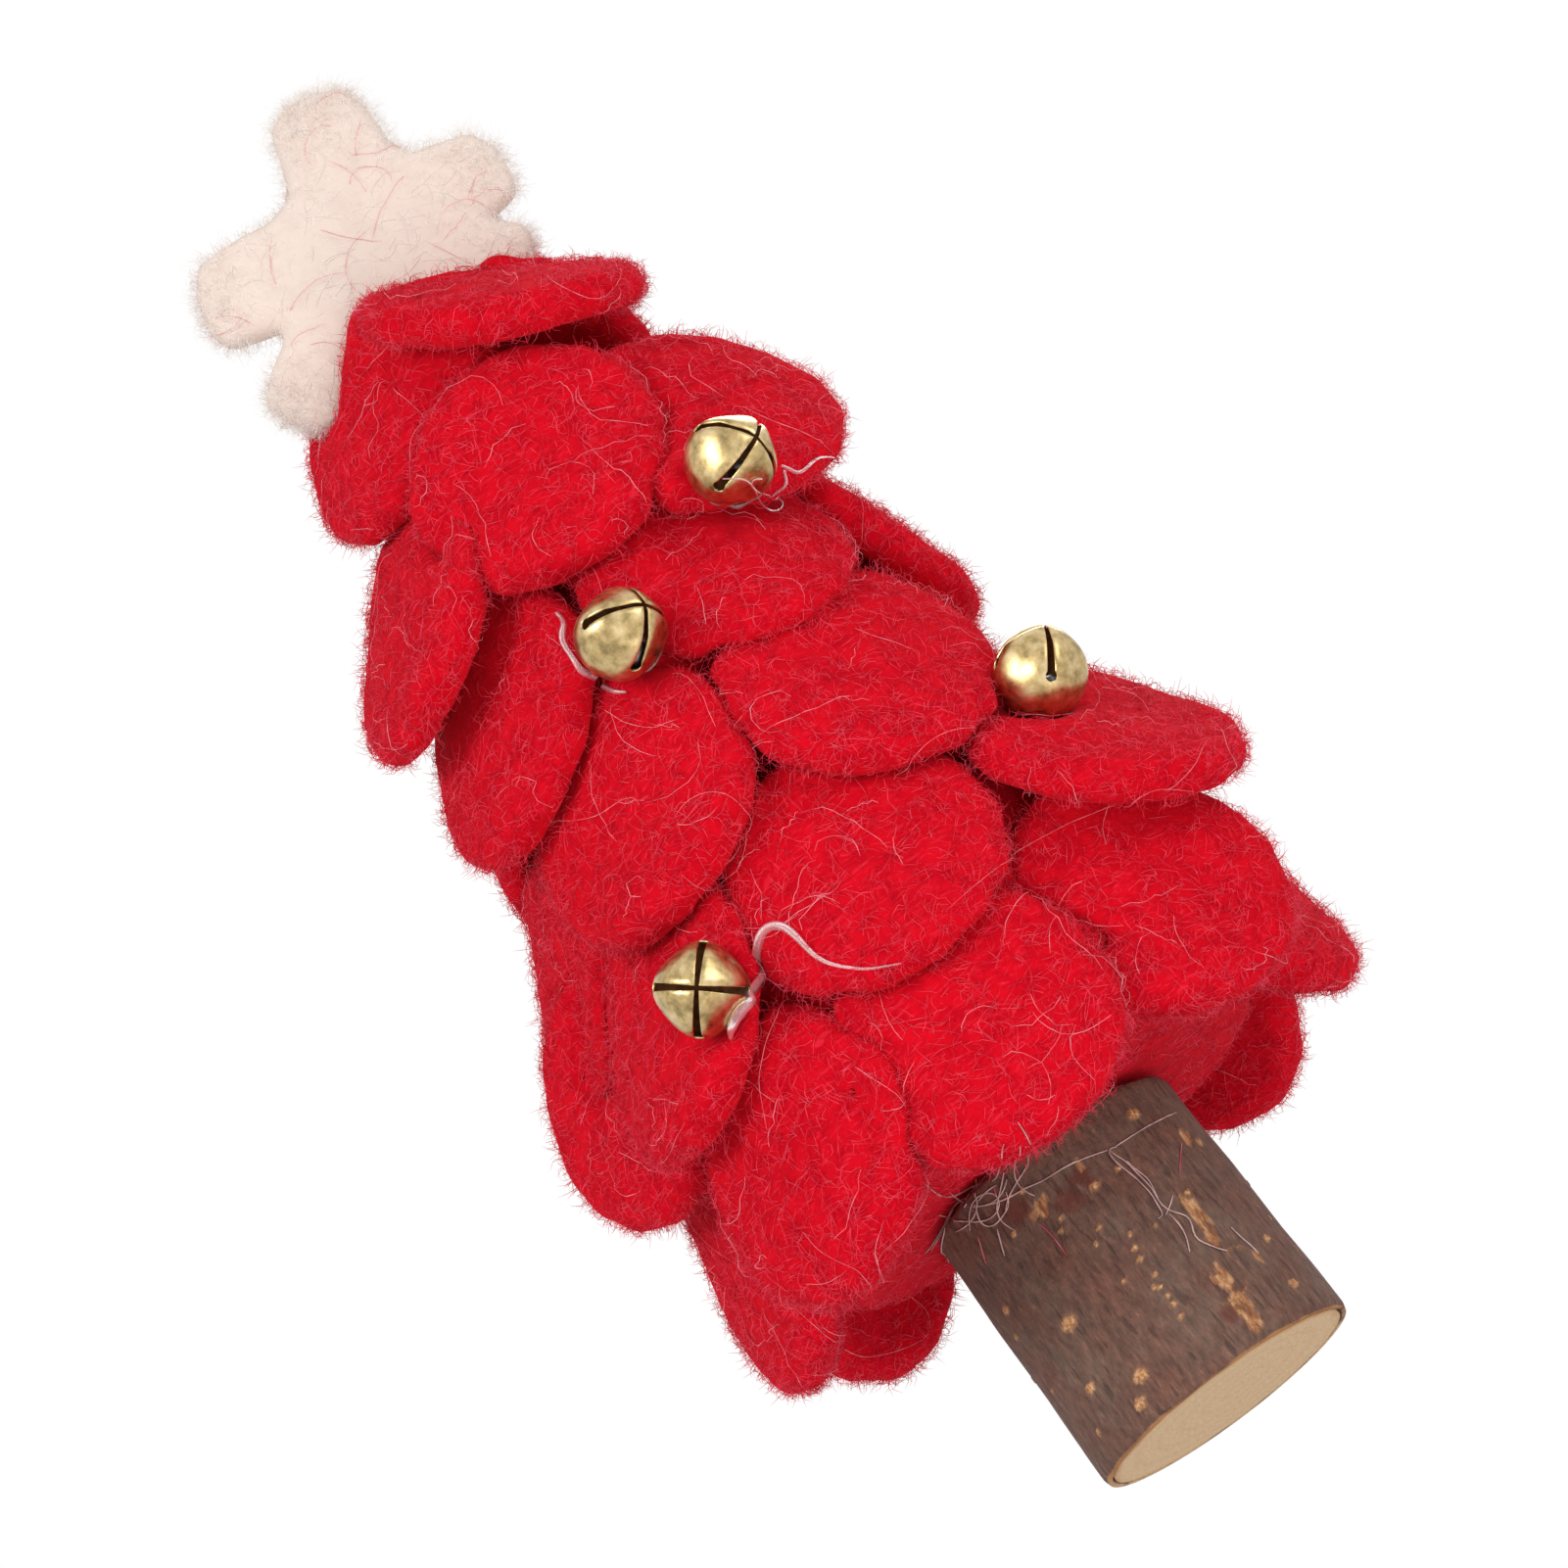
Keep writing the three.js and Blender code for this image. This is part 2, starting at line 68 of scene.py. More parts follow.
# The studio: a white surround with large soft lamps, and a pale floor that catches the shadow of the
# standing tree. The floor shows from above only, because the photograph's view comes from below it,
# and it lets the low lamp through to the trunk's sawn foot.
def linear(colour):
    """An sRGB hex colour as the linear colour that a shader takes."""
    parts = [int(colour[i : i + 2], 16) / 255 for i in (1, 3, 5)]
    return tuple(c / 12.92 if c <= 0.04045 else ((c + 0.055) / 1.055) ** 2.4 for c in parts) + (1,)


def add_node(tree, kind, inputs=None, stops=None, **settings):
    """Adds a node. An input is a value, an sRGB hex colour or what feeds it. Stops have hex colours."""
    made = tree.nodes.new("ShaderNode" + kind)
    for name, value in settings.items():
        setattr(made, name, value)
    if stops:
        ramp = made.color_ramp
        while len(ramp.elements) < len(stops):
            ramp.elements.new(1)
        for element, (place, colour) in zip(ramp.elements, stops):
            element.position = place
            element.color = linear(colour)
    for name, value in (inputs or {}).items():
        if isinstance(value, str):
            value = linear(value)
        if isinstance(value, bpy.types.Node):
            value = next(output for output in value.outputs if output.enabled)
        if isinstance(value, bpy.types.NodeSocket):
            tree.links.new(value, made.inputs[name])
        else:
            made.inputs[name].default_value = value
    return made


def mesh_piece(name, work, finish=None):
    """A bmesh as a smooth-shaded piece with one finish."""
    bmesh.ops.recalc_face_normals(work, faces=work.faces)
    for face in work.faces:
        face.smooth = True
    mesh = bpy.data.meshes.new(name)
    work.to_mesh(mesh)
    work.free()
    if finish:
        mesh.materials.append(finish)
    piece = bpy.data.objects.new(name, mesh)
    scene.collection.objects.link(piece)
    return piece


surround = bpy.data.worlds.new("surround")
surround.use_nodes = True
tree = surround.node_tree
tree.nodes.clear()
soft_strength = 0.58
ray = add_node(tree, "LightPath")
seen = add_node(
    tree, "Math", {0: ray.outputs["Is Camera Ray"], 1: ray.outputs["Is Glossy Ray"]}, operation="MAXIMUM"
)
seen = add_node(tree, "Math", {0: seen, 1: ray.outputs["Is Transmission Ray"]}, operation="MAXIMUM")
soft = add_node(tree, "Background", {"Color": "#ffffff", "Strength": soft_strength})
white = add_node(tree, "Background", {"Color": "#ffffff", "Strength": 1.0})
both = add_node(tree, "MixShader", {0: seen, 1: soft, 2: white})
add_node(tree, "OutputWorld", {"Surface": both})
scene.world = surround


def add_lamp(name, place, size, power):
    """A round lamp, placed from the view's aim and facing it, that lights and isn't seen itself."""
    lamp = bpy.data.lights.new(name, "AREA")
    lamp.shape = "DISK"
    lamp.size = size
    lamp.energy = power
    holder = bpy.data.objects.new(name, lamp)
    holder.visible_camera = False
    away = Vector(place)
    facing = away.to_track_quat("Z", "Y").to_matrix().to_4x4()
    holder.matrix_world = Matrix.Translation(view_aim + away) @ facing
    scene.collection.objects.link(holder)


add_lamp("key lamp", (-0.75, -0.95, 0.6), 0.6, 8.4)
add_lamp("side lamp", (2.1, -1.3, 0.35), 1.8, 19)
add_lamp("back lamp", (0.4, 0.95, 0.8), 0.8, 7)
add_lamp("low lamp", (0.1, -0.85, -0.75), 0.8, 5.5)

paper = bpy.data.materials.new("pale studio floor")
paper.use_nodes = True
tree = paper.node_tree
tree.nodes.clear()
side = add_node(tree, "NewGeometry")
ray = add_node(tree, "LightPath")
seen = add_node(
    tree, "Math", {0: ray.outputs["Is Camera Ray"], 1: ray.outputs["Is Glossy Ray"]}, operation="MAXIMUM"
)
from_above = add_node(
    tree, "Math", {0: seen, 1: side.outputs["Backfacing"]}, operation="SUBTRACT", use_clamp=True
)
matt = add_node(tree, "BsdfDiffuse", {"Color": "#eeeeec"})
clear = add_node(tree, "BsdfTransparent")
both = add_node(tree, "MixShader", {0: from_above, 1: clear, 2: matt})
add_node(tree, "OutputMaterial", {"Surface": both})
floor_drop = 0.0002
work = bmesh.new()
bmesh.ops.create_grid(work, x_segments=1, y_segments=1, size=2)
bmesh.ops.translate(work, verts=work.verts, vec=(0, 0, -floor_drop))
floor = mesh_piece("floor", work, paper)


# Trunk: a length of branch, sawn across at both ends and standing on one of them. Its bark is thin,
# dark and smooth, finely cracked along its length, with corky tan lenticels and a few bare patches.
trunk_height = 0.031
foot_radius, top_radius = 0.0155, 0.0148
bark_thickness = 0.0007
bark_gap = 0.0003
bark_rings = 120
bark_steps = 280
# How high or deep the bark's forms are, and the worn edge at its sawn ends.
swell_height, furrow_height, crack_depth = 0.00016, 0.00007, 0.00005
cork_height, bare_depth, curl_height, blister_height = 0.00016, 0.00014, 0.00028, 0.0004
worn_width, worn_depth = 0.0006, 0.0002
# Marks on the bark: an angle from the front in degrees, a height above the foot, and half a width and
# half a height, or one size, all in millimetres, as is the radius that they are laid around.
mark_radius = 15.2
lenticel_flatness = 0.75
lenticels = [
    (41, 27.5, 0.75), (8, 23.2, 0.55), (-10, 22.6, 0.32), (-13, 21.6, 0.3), (-34, 13.8, 0.95),
    (-44, 7.4, 0.65), (-22, 4.7, 0.85), (-29, 2.5, 0.72), (-59, 19.9, 0.65), (-56, 3.7, 0.4),
    (54, 3.8, 0.62), (59, 9.4, 0.5), (38, 17.4, 0.42), (-16, 27.5, 0.42), (-30, 24.7, 0.38),
    (20, 23.3, 0.32), (0, 19.4, 0.3), (8, 16.9, 0.26), (6, 15.5, 0.32), (5, 14.2, 0.32), (6, 12, 0.26),
    (3, 10.9, 0.32), (5, 10.6, 0.26), (5, 9.5, 0.28), (5, 8.4, 0.34), (4, 6.9, 0.32), (-5, 13.4, 0.28),
    (-5, 18.2, 0.26), (18, 16.2, 0.26), (-66, 17.3, 0.4), (-68, 10.6, 0.34), (76, 11.8, 0.34),
    (110, 8, 0.7), (128, 22, 0.6), (150, 12, 0.8), (171, 26, 0.5), (190, 6, 0.7), (212, 18, 0.9),
    (236, 10, 0.5), (248, 25, 0.7), (266, 14, 0.6), (96, 17, 0.5), (180, 17.5, 0.4), (225, 3.5, 0.5),
    (138, 4.5, 0.4), (203, 27.5, 0.4),
]
bare_patches = [
    (36, 15, 0.95, 2), (35, 12, 0.6, 1.2), (27, 7.6, 0.75, 1.5), (27, 4.6, 0.85, 1.5), (26, 2.2, 0.7, 1.1),
    (59, 23, 0.7, 0.8), (65, 22, 0.6, 0.5), (-15, 24.8, 0.9, 0.9), (-11, 25.2, 0.7, 0.6),
    (9, 25.8, 0.55, 0.6), (47, 8, 0.3, 0.9), (120, 14, 0.9, 2.6), (200, 23, 0.8, 2.2), (252, 6, 1, 1.8),
]
blister = (19, 4.3, 1.1, 1.5)
curls = [(38.9, 8.7, 1.25), (30, 6.2, 0.8), (27, 3.4, 0.7), (19.3, 4.2, 1.35)]
stains = [
    (-3, 23.6, 1.9, 1.6), (6, 24.8, 1.6, 1.2), (19.3, 3.9, 1.1, 1.2), (-24, 26.5, 2.2, 1.8),
    (150, 22, 2, 2),
]


def spin_profile(name, points, steps):
    """A closed shape turned about the upright axis from a closed or axis-to-axis row of points."""
    work = bmesh.new()
    corners = [work.verts.new((x, 0, z)) for x, z in points]
    lines = [work.edges.new(pair) for pair in zip(corners, corners[1:])]
    if points[0][0] > 0:
        lines.append(work.edges.new((corners[-1], corners[0])))
    whole_turn = 2 * math.pi
    bmesh.ops.spin(
        work, geom=corners + lines, axis=(0, 0, 1), angle=whole_turn, steps=steps, use_merge=True
    )
    bmesh.ops.remove_doubles(work, verts=work.verts, dist=1e-7)
    return mesh_piece(name, work)


def trunk_line(share):
    """The trunk's radius at a share of its height."""
    return foot_radius + (top_radius - foot_radius) * share


def off_mark(turn, z, angle, height):
    """How far a place on the bark is from a mark, around the trunk and up, in millimetres."""
    off = (turn - angle + 180) % 360 - 180
    return math.radians(off) * mark_radius, z * 1000 - height


def mark_share(turn, z, marks, ragged, grain, full, fade):
    """How far marks with ragged edges cover a place on the bark, from 0 to 1."""
    share = 0
    for angle, height, half_wide, half_tall in marks:
        across, up = off_mark(turn, z, angle, height)
        reach = math.hypot(across / half_wide, up / half_tall)
        if reach < full + ragged:
            wobble = ragged * noise.noise(Vector((across * grain[0], z * grain[1], angle)))
            share = max(share, min(1, (full + wobble - reach) / fade))
    return share


cork_marks = [(angle, height, size, size * lenticel_flatness) for angle, height, size in lenticels]
bark_points = [(foot_radius - bark_thickness, 0)]
bark_points += [(trunk_line(i / bark_rings), trunk_height * i / bark_rings) for i in range(bark_rings + 1)]
bark_points += [(top_radius - bark_thickness, trunk_height)]
bark_piece = spin_profile("trunk_bark_skin", bark_points, bark_steps)
masks = [bark_piece.data.attributes.new(name, "FLOAT", "POINT") for name in ("cork", "bare", "red")]
for vertex in bark_piece.data.vertices:
    x, y, z = vertex.co
    radius = math.hypot(x, y)
    if radius < trunk_line(z / trunk_height) - 0.0001:
        continue  # The inner face and the rims stay plain.
    turn = math.degrees(math.atan2(x, -y))
    around = Vector((x, y, 0)).normalized() * 15
    furrow = noise.noise(Vector((around.x * 1.5, around.y * 1.5, z * 140)))
    fine = noise.noise(Vector((around.x * 4.2, around.y * 4.2, z * 500)))
    swell = noise.noise(Vector((x, y, z)) * 130)
    rise = swell_height * swell + furrow_height * furrow - crack_depth * max(0, fine) ** 2
    cork = mark_share(turn, z, cork_marks, 0.3, (2, 2000), 1.3, 0.5)
    bare = mark_share(turn, z, bare_patches, 0.9, (1.3, 700), 1.2, 0.22)
    for angle, height, size in curls:
        across, up = off_mark(turn, z, angle, height)
        reach = math.hypot(across / size, up / size)
        reach += 0.35 * noise.noise(Vector((across * 0.9, z * 900, angle)))
        side = max(0, math.cos(math.atan2(up, across) - angle))
        curl = side * math.exp(-(((reach - 1) / 0.15) ** 2))
        rise += curl_height * curl
        bare = max(bare, 0.7 * curl)
    red = mark_share(turn, z, stains, 0.7, (1.1, 800), 1.1, 0.5)
    rise += cork_height * cork - bare_depth * bare
    angle, height, half_wide, half_tall = blister
    across = math.radians(turn - angle) * mark_radius / half_wide
    rise += blister_height * math.exp(-(across**2) - ((z * 1000 - height) / half_tall) ** 2)
    edge = min(z, trunk_height - z)
    if edge < worn_width:
        rise = min(rise, 0) - worn_depth * (1 - edge / worn_width)
    for mask, value in zip(masks, (cork, bare, red)):
        mask.data[vertex.index].value = value
    vertex.co.x += x / radius * rise
    vertex.co.y += y / radius * rise


# Bark of a young branch: matt, grey-brown, streaked along its length where the outer skin has split
# and the red-brown layer under it shows. The lenticels are dry tan cork. Streaks and cracks are about
# 0.7 mm wide, clouds of colour 6 mm, and the cork's grit 0.4 mm.
def new_finish(name):
    """A new material, its empty tree, and the place on the object that its patterns are laid over."""
    finish = bpy.data.materials.new(name)
    finish.use_nodes = True
    finish.node_tree.nodes.clear()
    place = add_node(finish.node_tree, "TexCoord").outputs["Object"]
    return finish, finish.node_tree, place


bark, tree, place = new_finish("branch bark")
long_way = add_node(tree, "Mapping", {"Vector": place, "Scale": (1, 1, 0.4)})
streak = add_node(tree, "TexNoise", {"Vector": long_way, "Scale": 1500, "Detail": 6, "Roughness": 0.7})
cloud = add_node(tree, "TexNoise", {"Vector": place, "Scale": 160, "Detail": 4, "Roughness": 0.6})
grit = add_node(tree, "TexNoise", {"Vector": place, "Scale": 2600, "Detail": 3, "Roughness": 0.6})
streak_stops = [
    (0.32, "#3b2720"), (0.45, "#5d3f34"), (0.54, "#6f4e41"), (0.62, "#815848"), (0.72, "#a77f65"),
]
streak_colour = add_node(tree, "ValToRGB", {"Fac": streak}, streak_stops)
cloud_stops = [(0.34, "#6d4538"), (0.52, "#624a3f"), (0.68, "#6f5f52")]
cloud_colour = add_node(tree, "ValToRGB", {"Fac": cloud}, cloud_stops)
crack_way = add_node(tree, "Mapping", {"Vector": place, "Scale": (1, 1, 0.2)})
crack = add_node(tree, "TexNoise", {"Vector": crack_way, "Scale": 1400, "Detail": 3, "Distortion": 0.3})
cracked = add_node(tree, "MapRange", {"Value": crack, "From Min": 0.57, "From Max": 0.66, "To Max": 0.5})
skin = add_node(tree, "Mix", {"Factor": 0.45, 6: streak_colour, 7: cloud_colour}, data_type="RGBA")
skin = add_node(tree, "Mix", {"Factor": cracked, 6: skin, 7: "#35231d"}, data_type="RGBA")
red_mask = add_node(tree, "Attribute", attribute_name="red").outputs["Fac"]
red_share = add_node(tree, "Math", {0: red_mask, 1: 0.6}, operation="MULTIPLY")
skin = add_node(tree, "Mix", {"Factor": red_share, 6: skin, 7: "#5f261c"}, data_type="RGBA")
cork_stops = [(0.35, "#8f6142"), (0.5, "#b98556"), (0.68, "#dbb184")]
cork_colour = add_node(tree, "ValToRGB", {"Fac": grit}, cork_stops)
bare_stops = [(0.35, "#6b3d27"), (0.5, "#a06e48"), (0.66, "#cba277")]
bare_colour = add_node(tree, "ValToRGB", {"Fac": streak}, bare_stops)
cork_mask = add_node(tree, "Attribute", attribute_name="cork").outputs["Fac"]
bare_mask = add_node(tree, "Attribute", attribute_name="bare").outputs["Fac"]
skin = add_node(tree, "Mix", {"Factor": bare_mask, 6: skin, 7: bare_colour}, data_type="RGBA")
skin = add_node(tree, "Mix", {"Factor": cork_mask, 6: skin, 7: cork_colour}, data_type="RGBA")
# The saw has chipped the bark's lower edge, which shows the wood's colour, paler at the back.
split = add_node(tree, "SeparateXYZ", {0: place})
chipped = add_node(tree, "Math", {0: cloud, 1: -0.0012, 2: split.outputs["Z"]}, operation="MULTIPLY_ADD")
sawn = add_node(tree, "MapRange", {"Value": chipped, "From Min": -0.0004, "From Max": -0.00062})
behind = add_node(tree, "MapRange", {"Value": split.outputs["Y"], "From Min": -0.006, "From Max": 0.004})
sawn_colour = add_node(tree, "Mix", {"Factor": behind, 6: "#b07a4b", 7: "#cfa982"}, data_type="RGBA")
whole = add_node(tree, "Mix", {"Factor": sawn, 6: skin, 7: sawn_colour}, data_type="RGBA")
height = add_node(tree, "Math", {0: streak, 1: grit}, operation="ADD")
height = add_node(tree, "Math", {0: cracked, 1: -1.2, 2: height}, operation="MULTIPLY_ADD")
bump = add_node(tree, "Bump", {"Height": height, "Strength": 0.85, "Distance": 0.00016})
shade = add_node(
    tree,
    "BsdfPrincipled",
    {"Base Color": whole, "Roughness": 0.78, "Specular IOR Level": 0.35, "Normal": bump},
)
add_node(tree, "OutputMaterial", {"Surface": shade})
bark_piece.data.materials.append(bark)
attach(bark_piece, "tree")
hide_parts("trunk_bark")

wood_radius = foot_radius - bark_thickness - bark_gap
wood_rings, wood_steps = 60, 180
wood_points = [(wood_radius * i / wood_rings, 0) for i in range(wood_rings + 1)]
wood_points += [(top_radius - bark_thickness - bark_gap, trunk_height), (0, trunk_height)]
wood_piece = spin_profile("trunk_sapwood", wood_points, wood_steps)


# Sapwood, cut by a fine saw: pale, a little fuzzy, with faint rings about a pith that lies off the
# middle, saw lines straight across, and a rim stained orange-brown under the bark. Saw lines are
# 0.5 mm apart, and so are the pores, which are really about a fifth of that and wouldn't show.
sapwood, tree, place = new_finish("sawn sapwood")
off_middle = add_node(tree, "Mapping", {"Vector": place, "Location": (-0.0012, 0.0008, 0)})
rings = add_node(
    tree,
    "TexWave",
    {"Vector": off_middle, "Scale": 110, "Distortion": 1.6, "Detail": 3, "Detail Scale": 1.5},
    wave_type="RINGS",
    rings_direction="Z",
)
pores = add_node(tree, "TexNoise", {"Vector": place, "Scale": 2200, "Detail": 4, "Roughness": 0.7})
saw_way = {"Vector": place, "Rotation": (0, 0, 0.4), "Scale": (0.12, 1, 1)}
across = add_node(tree, "Mapping", saw_way)
saw = add_node(tree, "TexNoise", {"Vector": across, "Scale": 1900, "Detail": 3})
stain = add_node(tree, "TexNoise", {"Vector": place, "Scale": 260, "Detail": 3})
ring_stops = [(0, "#d7b893"), (0.6, "#d5b58e"), (1, "#d1af87")]
ring_colour = add_node(tree, "ValToRGB", {"Fac": rings.outputs["Fac"]}, ring_stops)
pore_stops = [(0.34, "#b6916b"), (0.5, "#d5b48f"), (0.66, "#e3cdae")]
pore_colour = add_node(tree, "ValToRGB", {"Fac": pores}, pore_stops)
face = add_node(tree, "Mix", {"Factor": 0.5, 6: ring_colour, 7: pore_colour}, data_type="RGBA")
flat_place = add_node(tree, "VectorMath", {0: place, 1: (1, 1, 0)}, operation="MULTIPLY")
out = add_node(tree, "VectorMath", {0: flat_place}, operation="LENGTH")
wavy = add_node(tree, "Math", {0: stain, 1: 0.0022, 2: out}, operation="MULTIPLY_ADD")
rim_span = {"Value": wavy, "From Min": wood_radius + 0.0003, "From Max": wood_radius + 0.0012}
rim = add_node(tree, "MapRange", rim_span)
split = add_node(tree, "SeparateXYZ", {0: place})
front_span = {"Value": split.outputs["Y"], "From Min": 0.004, "From Max": -0.006, "To Max": 0.8}
front = add_node(tree, "MapRange", front_span)
rim = add_node(tree, "Math", {0: rim, 1: front}, operation="MULTIPLY")
rimmed = add_node(tree, "Mix", {"Factor": rim, 6: face, 7: "#b8814f"}, data_type="RGBA")
height = add_node(tree, "Math", {0: saw, 1: pores}, operation="ADD")
bump = add_node(tree, "Bump", {"Height": height, "Strength": 0.6, "Distance": 0.00012})
shade = add_node(
    tree,
    "BsdfPrincipled",
    {"Base Color": rimmed, "Roughness": 0.8, "Specular IOR Level": 0.3, "Normal": bump},
)
add_node(tree, "OutputMaterial", {"Surface": shade})
wood_piece.data.materials.append(sapwood)
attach(wood_piece, "tree")
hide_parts("trunk_wood")


# Core: a cone of red felt that the petals are glued to, closed below by a felt disc. Both show only
# as dark red between the petals, and the disc from below, around the trunk.
def settle(piece):
    """Makes a piece's modifiers, or its curve, into a plain mesh."""
    graph = bpy.context.evaluated_depsgraph_get()
    mesh = bpy.data.meshes.new_from_object(piece.evaluated_get(graph))
    mesh.name = piece.name
    if piece.type == "MESH":
        piece.modifiers.clear()
        piece.data = mesh
        return piece
    name = piece.name
    bpy.data.objects.remove(piece)
    made = bpy.data.objects.new(name, mesh)
    scene.collection.objects.link(made)
    return made


def soften(node, name, voxel, passes):
    """A closed copy of a node, merged, remeshed and smoothed until its cut edges are round."""
    work = bmesh.new()
    work.from_mesh(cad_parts[node].data)
    bmesh.ops.remove_doubles(work, verts=work.verts, dist=1e-6)
    piece = mesh_piece(name, work)
    remesh = piece.modifiers.new("remesh", "REMESH")
    remesh.mode = "VOXEL"
    remesh.voxel_size = voxel
    smooth = piece.modifiers.new("smooth", "SMOOTH")
    smooth.factor = 0.5
    smooth.iterations = passes
    settle(piece)
    work = bmesh.new()
    work.from_mesh(piece.data)
    left = set(work.verts)
    groups = []
    while left:
        group, edge = set(), {left.pop()}
        while edge:
            group |= edge
            edge = {e.other_vert(v) for v in edge for e in v.link_edges} - group
        left -= group
        groups.append(group)
    main = max(groups, key=len)
    bmesh.ops.delete(work, geom=[v for v in work.verts if v not in main], context="VERTS")
    bmesh.ops.recalc_face_normals(work, faces=work.faces)
    for face in work.faces:
        face.smooth = True
    work.to_mesh(piece.data)
    work.free()
    return piece


def roughen(piece, waves, seed, fuller=0):
    """Moves each point out by a fixed amount and by noise, in waves of a height and a width in metres."""
    shift = Vector((seed * 1.7, seed * 0.9, seed * 0.3))
    ways = [vertex.normal.copy() for vertex in piece.data.vertices]
    for vertex, way in zip(piece.data.vertices, ways):
        wave = sum(height * noise.noise(vertex.co / width + shift) for height, width in waves)
        vertex.co += way * (fuller + wave)


def plump(piece, node, most, search=0.004, gap=0.0007):
    """Swells a felt piece into the open space around it, so that it meets its neighbours softly."""
    others = surface_of([other.data for name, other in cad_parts.items() if name != node])
    ways = [vertex.normal.copy() for vertex in piece.data.vertices]
    for vertex, way in zip(piece.data.vertices, ways):
        room = others.find_nearest(vertex.co, search)[3]
        room = search if room is None else room
        vertex.co += way * min(most, max(0, 0.4 * (room - gap)))


def surface_of(meshes):
    """A searchable surface of all the given meshes together."""
    places, faces, start = [], [], 0
    for mesh in meshes:
        places += [v.co.copy() for v in mesh.vertices]
        faces += [[start + i for i in p.vertices] for p in mesh.polygons]
        start += len(mesh.vertices)
    return BVHTree.FromPolygons(places, faces)


tree_surface = surface_of([node.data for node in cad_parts.values()])


def open_spots(mesh, count, seed, rim=0, start=0.001, room=0.011):
    """Random spots on a mesh, more of them at its rim, with normals, that no other piece covers."""
    mesh.calc_loop_triangles()
    corners = np.zeros(len(mesh.vertices) * 3, np.float32)
    mesh.vertices.foreach_get("co", corners)
    corners = corners.reshape(-1, 3).astype(float)
    faces = np.zeros(len(mesh.loop_triangles) * 3, np.int32)
    mesh.loop_triangles.foreach_get("vertices", faces)
    a, b, c = (corners[faces.reshape(-1, 3)[:, i]] for i in range(3))
    out = np.cross(b - a, c - a)
    size = np.linalg.norm(out, axis=1)
    dice = np.random.default_rng(seed)
    middle = corners.mean(axis=0)
    reach = np.linalg.norm((a + b + c) / 3 - middle, axis=1)
    flat_way = np.linalg.svd(corners - middle, full_matrices=False)[2][2]
    edge = 1 - np.abs(out @ flat_way) / size
    share = size * (1 + rim * np.maximum((reach / reach.max()) ** 5, edge**3))
    chosen = dice.choice(len(size), count, p=share / share.sum())
    s, t = dice.random((2, count))
    s, t = np.where(s + t > 1, 1 - s, s), np.where(s + t > 1, 1 - t, t)
    spots = a[chosen] + s[:, None] * (b - a)[chosen] + t[:, None] * (c - a)[chosen]
    ways = out[chosen] / size[chosen][:, None]
    for spot, way in zip(spots, ways):
        spot, way = Vector(spot), Vector(way)
        if tree_surface.ray_cast(spot + start * way, way, room)[0] is None:
            yield spot, way


# Wool fibres that have worked loose from the felt, painted paler than it: painted light for the light that
# passes through them.
# They lie on it, 2 to 5 mm long and curling, or stand off it for 1 to 2 mm. They are drawn 0.08 mm
# thick, about three times the real ones, so that they show.
def strand_piece(name, paths, thickness, finish, sides=3):
    """Thin strands along rows of points, with a width share at each point, as one mesh."""
    section = bpy.data.curves.new("section", "CURVE")
    ring = section.splines.new("POLY")
    ring.points.add(sides - 1)
    for i, point in enumerate(ring.points):
        turn = 2 * math.pi * i / sides
        point.co = (thickness / 2 * math.cos(turn), thickness / 2 * math.sin(turn), 0, 1)
    ring.use_cyclic_u = True
    section_object = bpy.data.objects.new("section", section)
    curve = bpy.data.curves.new(name, "CURVE")
    curve.dimensions = "3D"
    curve.bevel_mode = "OBJECT"
    curve.bevel_object = section_object
    curve.use_fill_caps = True
    for path, widths in paths:
        spline = curve.splines.new("POLY")
        spline.points.add(len(path) - 1)
        spline.points.foreach_set("co", [v for p in path for v in (*p, 1)])
        spline.points.foreach_set("radius", widths)
    holder = bpy.data.objects.new(name, curve)
    scene.collection.objects.link(holder)
    piece = settle(holder)
    bpy.data.objects.remove(section_object)
    bpy.data.curves.remove(section)
    for face in piece.data.polygons:
        face.use_smooth = True
    piece.data.materials.clear()
    piece.data.materials.append(finish)
    return piece


def lying_fibres(mesh, count, seed, shortest, longest, lift, steps=3, root=0.00008):
    """Paths of curling fibres that start in a felt piece and lie on it."""
    skin = surface_of([mesh])
    dice = random.Random(seed)
    paths = []
    for spot, way in open_spots(mesh, count, seed):
        aside = way.orthogonal().normalized()
        aside.rotate(Quaternion(way, dice.uniform(0, 2 * math.pi)))
        step = dice.uniform(shortest, longest) / steps
        curl = dice.gauss(0, 1.65 / steps)
        path = [spot - root * way]
        here = spot
        for i in range(steps):
            here = here + step * aside
            near, normal, _, _ = skin.find_nearest(here)
            here = near + lift * dice.uniform(0.1, 1) * normal
            path.append(here.copy())
            aside.rotate(Quaternion(normal, curl + dice.gauss(0, 0.75 / steps)))
            aside = (aside - aside.project(normal)).normalized()
        paths.append((path, [1] * (steps - 1) + [0.8, 0.3]))
    return paths


def standing_fibres(mesh, count, seed, shortest, longest, rim=6, root=0.00005):
    """Paths of short fibres that stand off a felt piece and blur its outline."""
    dice = random.Random(seed)
    paths = []
    for spot, way in open_spots(mesh, count, seed, rim):
        lean = Vector([dice.gauss(0, 0.75) for _ in range(3)])
        half = dice.uniform(shortest, longest) / 2
        middle = spot + half * (way + 0.5 * lean).normalized()
        tip = middle + half * (0.1 * way + lean).normalized()
        paths.append(([spot - root * way, middle, tip], [0.9, 0.7, 0.15]))
    return paths


